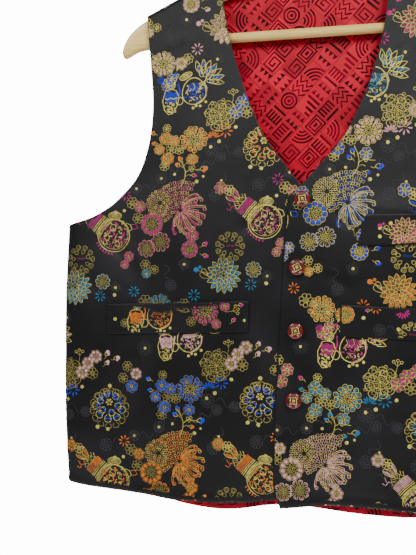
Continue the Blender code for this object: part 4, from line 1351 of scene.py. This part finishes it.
def motifPiece(name, points, faces, colours, gilts, facing):
    piece = reliefPiece(name, points, faces, [silkYarn, giltYarn], facing)
    piece.data.polygons.foreach_set("material_index", gilts)
    dye = piece.data.attributes.new("dye", "FLOAT_COLOR", "POINT")
    dye.data.foreach_set("color", np.column_stack([colours, np.ones(len(colours))]).ravel())
    settle(piece)
    return piece


# Fronts, back and lining

def outlineOf(x, z):
    grid = np.stack([x, z], axis=-1)
    return np.concatenate([grid[0], grid[1:, -1], grid[-1, -2::-1], grid[-2:0:-1, 0]])


welts = {
    "weltRight": {"node": "welt_lower_right", "side": -1, "inner": 52.5, "up": -398.5, "length": 160,
                  "height": 34, "slope": -2.8, "slant": 0, "gape": 2.4},
    "weltLeft": {"node": "welt_lower_left", "side": 1, "inner": 46.5, "up": -399.5, "length": 160,
                 "height": 34, "slope": -1.0, "slant": 0, "gape": 1.6},
    "weltBreast": {"node": "welt_breast", "side": 1, "inner": 62.5, "up": -302.5, "length": 97,
                   "height": 34, "slope": 2.5, "slant": 14, "gape": 0.8},
}


def weltCorners(welt, inset=0.0):
    rise = welt["length"] * tan(radians(welt["slope"]))
    lean = welt["height"] * tan(radians(welt["slant"]))
    corners = [(welt["inner"] + inset, welt["up"] + inset),
               (welt["inner"] + welt["length"] - inset, welt["up"] + rise + inset),
               (welt["inner"] + welt["length"] + lean - inset, welt["up"] + rise + welt["height"] - inset),
               (welt["inner"] + lean + inset, welt["up"] + welt["height"] - inset)]
    return np.array([(welt["side"] * x, z) for x, z in corners])


def makeCloth(name, node, grid, finishes):
    x, z, seams = grid
    panel = panels[name]
    points, normal = panelSurface(name, x, z)
    levelAtSeams(normal, seams)
    off = standOff(x, z) if panel["lap"] else np.zeros(x.shape)
    isLining = name == "backLining"
    rise = np.zeros(x.shape) if isLining else edgeRise(x, z)
    pieceName = "backCloth" if name == "back" else name  # the CAD node is already called back
    piece = wallPiece(pieceName, points, normal, panel["near"] + off, panel["far"] + off + rise, finishes)
    rollRims(piece, (0.3 if isLining else 0.45) * mm)
    settle(piece, node)
    return piece


def makeBrocadePanel(name, node, grid, finishes, holes=()):
    cloth = makeCloth(name, node, grid, finishes)
    outline = outlineOf(*grid[:2])
    x, z, lift, faces, colours, gilts = makeMotifs(name, outline, holes)
    points = panelPoint(name, x, z, lift)
    flowers = motifPiece(name + "Flowers", points, faces, colours, gilts, panels[name]["facing"])


def makeFronts():
    for name, node, side, edge, hem in (
            ("rightFront", "front_right", -1, rightFrontEdge, rightFrontHem),
            ("leftFront", "front_left", 1, leftFrontEdge, leftFrontHem)):
        holes = [weltCorners(welt, 1.5) for welt in welts.values() if welt["side"] == side]
        if side < 0:  # nothing is stamped where the other front laps over
            lapped = drawnThrough(leftFrontEdge)
            holes.append(np.vstack([lapped - (1.2, 0), [(60, -249), (60, -620), (-13.5, -620)]]))
        makeBrocadePanel(name, node, frontGrid(side, edge, hem), [brocadeGround, liningSatin], holes)


# The printed lining

def tileDrawings():
    # the figures of the print, each about 16 mm across
    nested, arcs, bars, zigzag, triangles, key, target, comb = tiles = [[] for figure in range(8)]
    for wide, high in ((8.0, 6.4), (5.0, 4.0)):
        line(nested, [(-wide, -high), (wide, -high), (wide, high), (-wide, high)], 2.1, "ink", True)
    patch(nested, [(-2.2, -1.4), (2.2, -1.4), (2.2, 1.4), (-2.2, 1.4)], "ink")
    for reach in (4.5, 8.0, 11.5, 15.0):
        curve = [(-8 + reach * cos(t), -8 + reach * sin(t)) for t in np.linspace(0, pi / 2, 9)]
        line(arcs, curve, 1.9, "ink")
    for step in range(4):
        line(bars, [(-7.5, -7.5 + 5 * step), (7.5 - 3 * step, -7.5 + 5 * step)], 2.6, "ink")
    for level in (-5.5, 0.5, 6.5):
        line(zigzag, [(-8 + 4 * step, level + (2.6 if step % 2 else -2.6)) for step in range(5)], 2.0, "ink")
    for x in (-5.4, 0, 5.4):
        for low in (-7.5, 2.2):
            patch(triangles, [(x - 2.4, low), (x + 2.4, low), (x, low + 5.3)], "ink")
    line(key, [(-8, -8), (8, -8), (8, 8), (-4.5, 8), (-4.5, -4.5), (4.5, -4.5), (4.5, 4.2), (-0.5, 4.2),
               (-0.5, -0.5)], 2.0, "ink")
    line(target, ring(0, 0, 7.8, 20), 2.0, "ink", True)
    line(target, ring(0, 0, 4.4, 14), 1.6, "ink", True)
    patch(target, ring(0, 0, 1.8, 9), "ink")
    line(comb, [(-8, 7.5), (8, 7.5)], 1.6, "ink")
    for x in (-7, -3.5, 0, 3.5, 7):
        line(comb, [(x, 7.5), (x, -1.5)], 2.0, "ink")
    line(comb, [(-8, -5.5), (8, -5.5)], 2.4, "ink")
    return tiles


def makeLiningPrint(outline):
    tiles = tileDrawings()
    draw = np.random.default_rng(7)
    pitch, turn, squares = lining["pitch"], radians(lining["turn"]), lining["squares"]
    parts = []
    for row in range(-squares, squares + 1):
        for column in range(-squares, squares + 1):
            pickOne, quarterTurn = int(draw.integers(len(tiles))), int(draw.integers(4))
            x, y = pitch * (column + 0.5 * (row % 2)), pitch * row
            spotX = x * cos(turn) - y * sin(turn)
            spotZ = x * sin(turn) + y * cos(turn) + lining["printMiddle"]
            if abs(spotX) > lining["printHalf"] or not lining["printLow"] < spotZ < lining["printTop"]:
                continue
            art = laidAt(tiles[pickOne], spotX, spotZ, lining["figure"], turn + quarterTurn * pi / 2)
            for part, points, width, yarn, closed in art:
                flat, lift, own = meshLine(points, width, closed) if part == "line" else meshPatch(points)
                parts.append((flat, lining["inkStand"] + 0.5 * lift, own))
    flats, lifts, faces = joined(parts)
    x, z = roundTheSide(flats[:, 0], flats[:, 1]), flats[:, 1]
    used, kept, faces = keptInside(x, z, faces, outline)
    points, normal = panelSurface("backLining", x[used], z[used])
    piece = reliefPiece("liningPrint", (points - normal * lifts[used][:, None]) * mm, faces, [liningInk], -1)
    settle(piece)
    return piece


def makeLining():
    grid = backGrid()
    cloth = makeCloth("backLining", "back_lining", grid, [liningSatin])
    outline = outlineOf(*grid[:2])
    makeLiningPrint(outline)


# Welts

weltBuild = {"columns": 60, "levels": 16, "stand": 0.8, "thick": 1.3, "flowers": 1.42, "sag": 0.9,
             "rollAt": 0.93, "rollWide": 0.07, "roll": 0.5, "wave": 0.12}


def makeWelts():
    u, v = np.meshgrid(np.linspace(0, 1, weltBuild["columns"]), np.linspace(0, 1, weltBuild["levels"]))
    for name, welt in welts.items():
        corners = weltCorners(welt)
        low = corners[0] + (corners[1] - corners[0]) * u[..., None]
        high = corners[3] + (corners[2] - corners[3]) * u[..., None]
        place = low + (high - low) * v[..., None]
        sag = weltBuild["sag"] * np.sin(pi * u) ** 2 * v ** 3
        panelName = "rightFront" if welt["side"] < 0 else "leftFront"
        points, normal = panelSurface(panelName, place[..., 0], place[..., 1] - sag)
        rolled = weltBuild["roll"] * np.exp(-((v - weltBuild["rollAt"]) / weltBuild["rollWide"]) ** 2)
        rolled = rolled + weltBuild["wave"] * np.sin(19 * u + 3 * v)
        near = outerBuild + weltBuild["stand"] + welt["gape"] * np.sin(pi * u) ** 2 * v ** 2
        far = near + weltBuild["thick"] + rolled * 0.5
        piece = wallPiece(name, points, normal, near, far, [brocadeGround])
        rollRims(piece, 0.5 * mm)
        settle(piece, welt["node"])
        x, z, lift, faces, colours, gilts = makeMotifs(name, weltCorners(welt, 1.2))
        share = np.clip((z - welt["up"]) / welt["height"], 0, 1)
        length = np.clip((welt["side"] * x - welt["inner"]) / welt["length"], 0, 1)
        points, normal = panelSurface(panelName, x, z)
        raised = outerBuild + weltBuild["stand"] + welt["gape"] * np.sin(pi * length) ** 2 * share ** 2
        raised = (raised + weltBuild["flowers"] + lift)[:, None]
        flowers = motifPiece(name + "Flowers", (points + normal * raised) * mm, faces, colours, gilts, -1)


# Buttons

buttons = {
    "stand": 1.2, "shank": 1.9, "sunk": 6.3, "sunkFrom": 2.5, "beadLevel": 3.05, "beadSpacing": 1.7,
    "bead": 0.8, "knot": 1.3,
    # each step: how far it comes out, and the radius that it reaches
    "steps": [(1.2, 1.9), (0.0, 5.8), (0.35, 6.9), (0.9, 8.1), (0.9, 8.75), (0.9, 8.6), (0.8, 8.0),
              (0.35, 7.2), (-0.1, 6.5), (-0.55, 5.9), (-0.55, 5.5), (-0.1, 4.8), (0.12, 2.4)],
    "places": [("button_1", 2.5, -253.0, 8), ("button_2", -0.8, -326.8, 32),
               ("button_3", -0.8, -395.3, 12), ("button_4", -1.0, -470.6, 0)],
}


def buttonDisc(name, seat):
    # a shank, a flat back, a bulging rim and a sunk face, extruded step by step towards the viewer
    bpy.ops.object.select_all(action="DESELECT")
    bpy.ops.mesh.primitive_circle_add(vertices=40, radius=buttons["shank"] * mm, fill_type="NGON",
                                      location=seat, rotation=(radians(90), 0, 0))
    disc = bpy.context.object
    disc.name = disc.data.name = name
    bpy.ops.object.mode_set(mode="EDIT")
    bpy.ops.mesh.select_all(action="SELECT")
    before = buttons["shank"]
    for out, reach in buttons["steps"]:
        bpy.ops.mesh.extrude_region_move(TRANSFORM_OT_translate={"value": (0, -out * mm, 0)})
        bpy.ops.transform.resize(value=(reach / before, 1, reach / before), center_override=tuple(seat))
        before = reach
    bpy.ops.mesh.select_all(action="SELECT")
    bpy.ops.mesh.normals_make_consistent(inside=False)
    bpy.ops.object.mode_set(mode="OBJECT")
    pick(disc)
    bpy.ops.object.transform_apply(location=True, rotation=True, scale=True)
    rounded = disc.modifiers.new("rounded", "SUBSURF")
    rounded.levels = rounded.render_levels = 1
    finishModifiers(disc)
    smoothBy(disc, 60)
    return disc


def buttonBeads(name, seat, turn):
    # a square of gilt beads with a knot in the middle, laid in the sunk face
    spacing, bead, knot = buttons["beadSpacing"], buttons["bead"], buttons["knot"]
    spots = [(0, 0, 0.7)]
    for column in range(-2, 3):
        for row in range(-2, 3):
            if max(abs(column), abs(row)) == 2:
                spots.append((spacing * column, spacing * row, bead))
    for angle in range(4):
        spots.append((knot * cos(pi / 2 * angle + pi / 4), knot * sin(pi / 2 * angle + pi / 4), bead))
    pieces = []
    for x, z, size in spots:
        bpy.ops.object.select_all(action="DESELECT")
        wide = x * cos(radians(turn)) - z * sin(radians(turn))
        high = x * sin(radians(turn)) + z * cos(radians(turn))
        place = seat + Vector((wide, -buttons["stand"] - buttons["beadLevel"], high)) * mm
        bpy.ops.mesh.primitive_ico_sphere_add(subdivisions=2, radius=size * mm, location=place)
        bpy.ops.transform.resize(value=(1.05, 0.75, 1.05))
        pieces.append(bpy.context.object)
    pick(*pieces)
    bpy.ops.object.join()
    beads = bpy.context.object
    beads.name = beads.data.name = name
    bpy.ops.object.transform_apply(location=True, rotation=True, scale=True)
    bpy.ops.object.shade_smooth()
    return beads


def makeButtons():
    rim = makeButtonEnamel("buttonRim", (0.05, 0.0, 0.0), (0.26, 0.0, 0.0))
    face = makeButtonEnamel("buttonFace", (0.008, 0.0, 0.0), (0.13, 0.0, 0.0))
    gilt = makeRubbedMetal("buttonGilt", 700.0, 3.0, (0.50, 0.33, 0.06), (0.92, 0.76, 0.30), 0.15, 0.3)
    for node, x, z, turn in buttons["places"]:
        point, normal = corePatch(np.array([x]), np.array([float(z)]), -1, frontFolds)
        lap = outerBuild + garment["cloth"] + garment["lapGap"]
        seat = Vector(((point + lap * normal)[0] - np.array([0.0, garment["seamGap"], 0.0])) * mm)
        disc = buttonDisc(node + "Shell", seat)
        disc.data.materials.append(rim)
        disc.data.materials.append(face)
        for polygon in disc.data.polygons:
            away = polygon.center - seat
            sunk = hypot(away.x, away.z) < buttons["sunk"] * mm and away.y < -buttons["sunkFrom"] * mm
            polygon.material_index = 1 if sunk else 0
        settle(disc, node)
        beads = buttonBeads(node + "Beads", seat, turn)
        beads.data.materials.append(gilt)
        settle(beads)


# Hanger

def refinedCopy(node, name, finish):
    bpy.ops.object.select_all(action="DESELECT")
    source = bpy.data.objects[node]
    piece = source.copy()
    piece.data = source.data.copy()
    piece.name = piece.data.name = name
    bpy.context.collection.objects.link(piece)
    pick(piece)
    bpy.ops.object.mode_set(mode="EDIT")
    bpy.ops.mesh.select_all(action="SELECT")
    bpy.ops.mesh.remove_doubles(threshold=0.00001)
    bpy.ops.mesh.tris_convert_to_quads(face_threshold=radians(30), shape_threshold=radians(60))
    bpy.ops.mesh.select_all(action="DESELECT")
    bpy.ops.mesh.select_mode(type="EDGE")
    bpy.ops.mesh.edges_select_sharp(sharpness=radians(60))
    bpy.ops.transform.edge_crease(value=0.8)
    bpy.ops.mesh.select_mode(type="VERT")
    bpy.ops.object.mode_set(mode="OBJECT")
    piece.data.materials.clear()
    piece.data.materials.append(finish)
    smoother = piece.modifiers.new("smoother", "SUBSURF")
    smoother.levels = smoother.render_levels = 1
    finishModifiers(piece)
    smoothBy(piece, 45)
    settle(piece, node)


def makeHanger():
    wood = makePaleWood()
    steel = makeRubbedMetal("brightSteel", 300.0, 4.0, (0.50, 0.50, 0.52), (0.80, 0.80, 0.82), 0.1, 0.25)
    refinedCopy("hanger_arms", "hangerArms", wood)
    refinedCopy("hanger_bar", "hangerBar", wood)
    refinedCopy("hanger_hook", "hangerHook", steel)


makeFronts()
makeBrocadePanel("back", "back", backGrid(), [brocadeGround])
makeLining()
print("cloth hung")
makeWelts()
makeButtons()
makeHanger()
print("welts, buttons and hanger made")


# Studio: a pale floor, a white surround, soft light and the camera

studio = {
    "focus": 923.36, "frameWide": 416, "yaw": radians(10.284), "roll": radians(1.44),
    "place": (0.0882, -1.015, -0.412), "floor": -1.3, "floorGlow": 0.9, "floorWide": 2.4, "skyLight": 0.25,
    "skySeen": 14.0,
    # place, what it is turned to, size and watts
    "lights": {"keyLight": ((0.75, -1.25, 0.75), (0.02, 0, -0.25), 0.55, 24),
               "leftLight": ((-0.85, -1.2, 0.6), (-0.05, 0, -0.25), 0.55, 16),
               "backLight": ((0.3, 1.9, 0.5), (0, 0, -0.35), 1.6, 30)},
}


def makeStudio():
    bpy.ops.object.select_all(action="DESELECT")
    bpy.ops.mesh.primitive_plane_add(size=studio["floorWide"], location=(0, 0, studio["floor"]))
    ground = bpy.context.object
    ground.name = "paleFloor"
    pale, tree, shader, place = startMaterial("palePaper", {
        "Roughness": 0.9, "Emission Strength": studio["floorGlow"]})
    colourInto(tree, shader, mixColour(tree, noise(tree, place, 2.0), (0.84, 0.84, 0.84), (0.90, 0.90, 0.90)))
    ground.data.materials.append(pale)
    world = bpy.context.scene.world or bpy.data.worlds.new("studio")
    bpy.context.scene.world = world
    world.use_nodes = True
    # a soft white room, seen as clean white paper behind the garment
    sky = world.node_tree
    lit = sky.nodes["Background"]
    lit.inputs["Color"].default_value = (1.0, 1.0, 1.0, 1.0)
    lit.inputs["Strength"].default_value = studio["skyLight"]
    seen = makeNode(sky, "ShaderNodeBackground", {
        "Color": (1.0, 1.0, 1.0, 1.0), "Strength": studio["skySeen"]})
    ray = makeNode(sky, "ShaderNodeLightPath")
    both = makeNode(sky, "ShaderNodeMixShader", {0: ray.outputs["Is Camera Ray"]})
    sky.links.new(lit.outputs[0], both.inputs[1])
    sky.links.new(seen.outputs[0], both.inputs[2])
    sky.links.new(both.outputs[0], sky.nodes["World Output"].inputs["Surface"])
    for name, (place, target, size, power) in studio["lights"].items():
        light = bpy.data.lights.new(name, "AREA")
        light.size = size
        light.energy = power
        lamp = bpy.data.objects.new(name, light)
        lamp.location = place
        lamp.rotation_euler = (Vector(target) - Vector(place)).to_track_quat("-Z", "Y").to_euler()
        bpy.context.collection.objects.link(lamp)
    lens = bpy.data.cameras.new("photoCamera")
    lens.sensor_width = 36.0
    lens.sensor_fit = "HORIZONTAL"
    lens.lens = lens.sensor_width * studio["focus"] / studio["frameWide"]
    camera = bpy.data.objects.new("photoCamera", lens)
    turn = Matrix.Rotation(studio["yaw"], 3, "Z") @ Matrix.Rotation(pi / 2, 3, "X")
    turn = turn @ Matrix.Rotation(studio["roll"], 3, "Z")
    camera.rotation_euler = turn.to_euler()
    camera.location = studio["place"]
    bpy.context.collection.objects.link(camera)
    bpy.context.scene.camera = camera


makeStudio()
print("studio set")
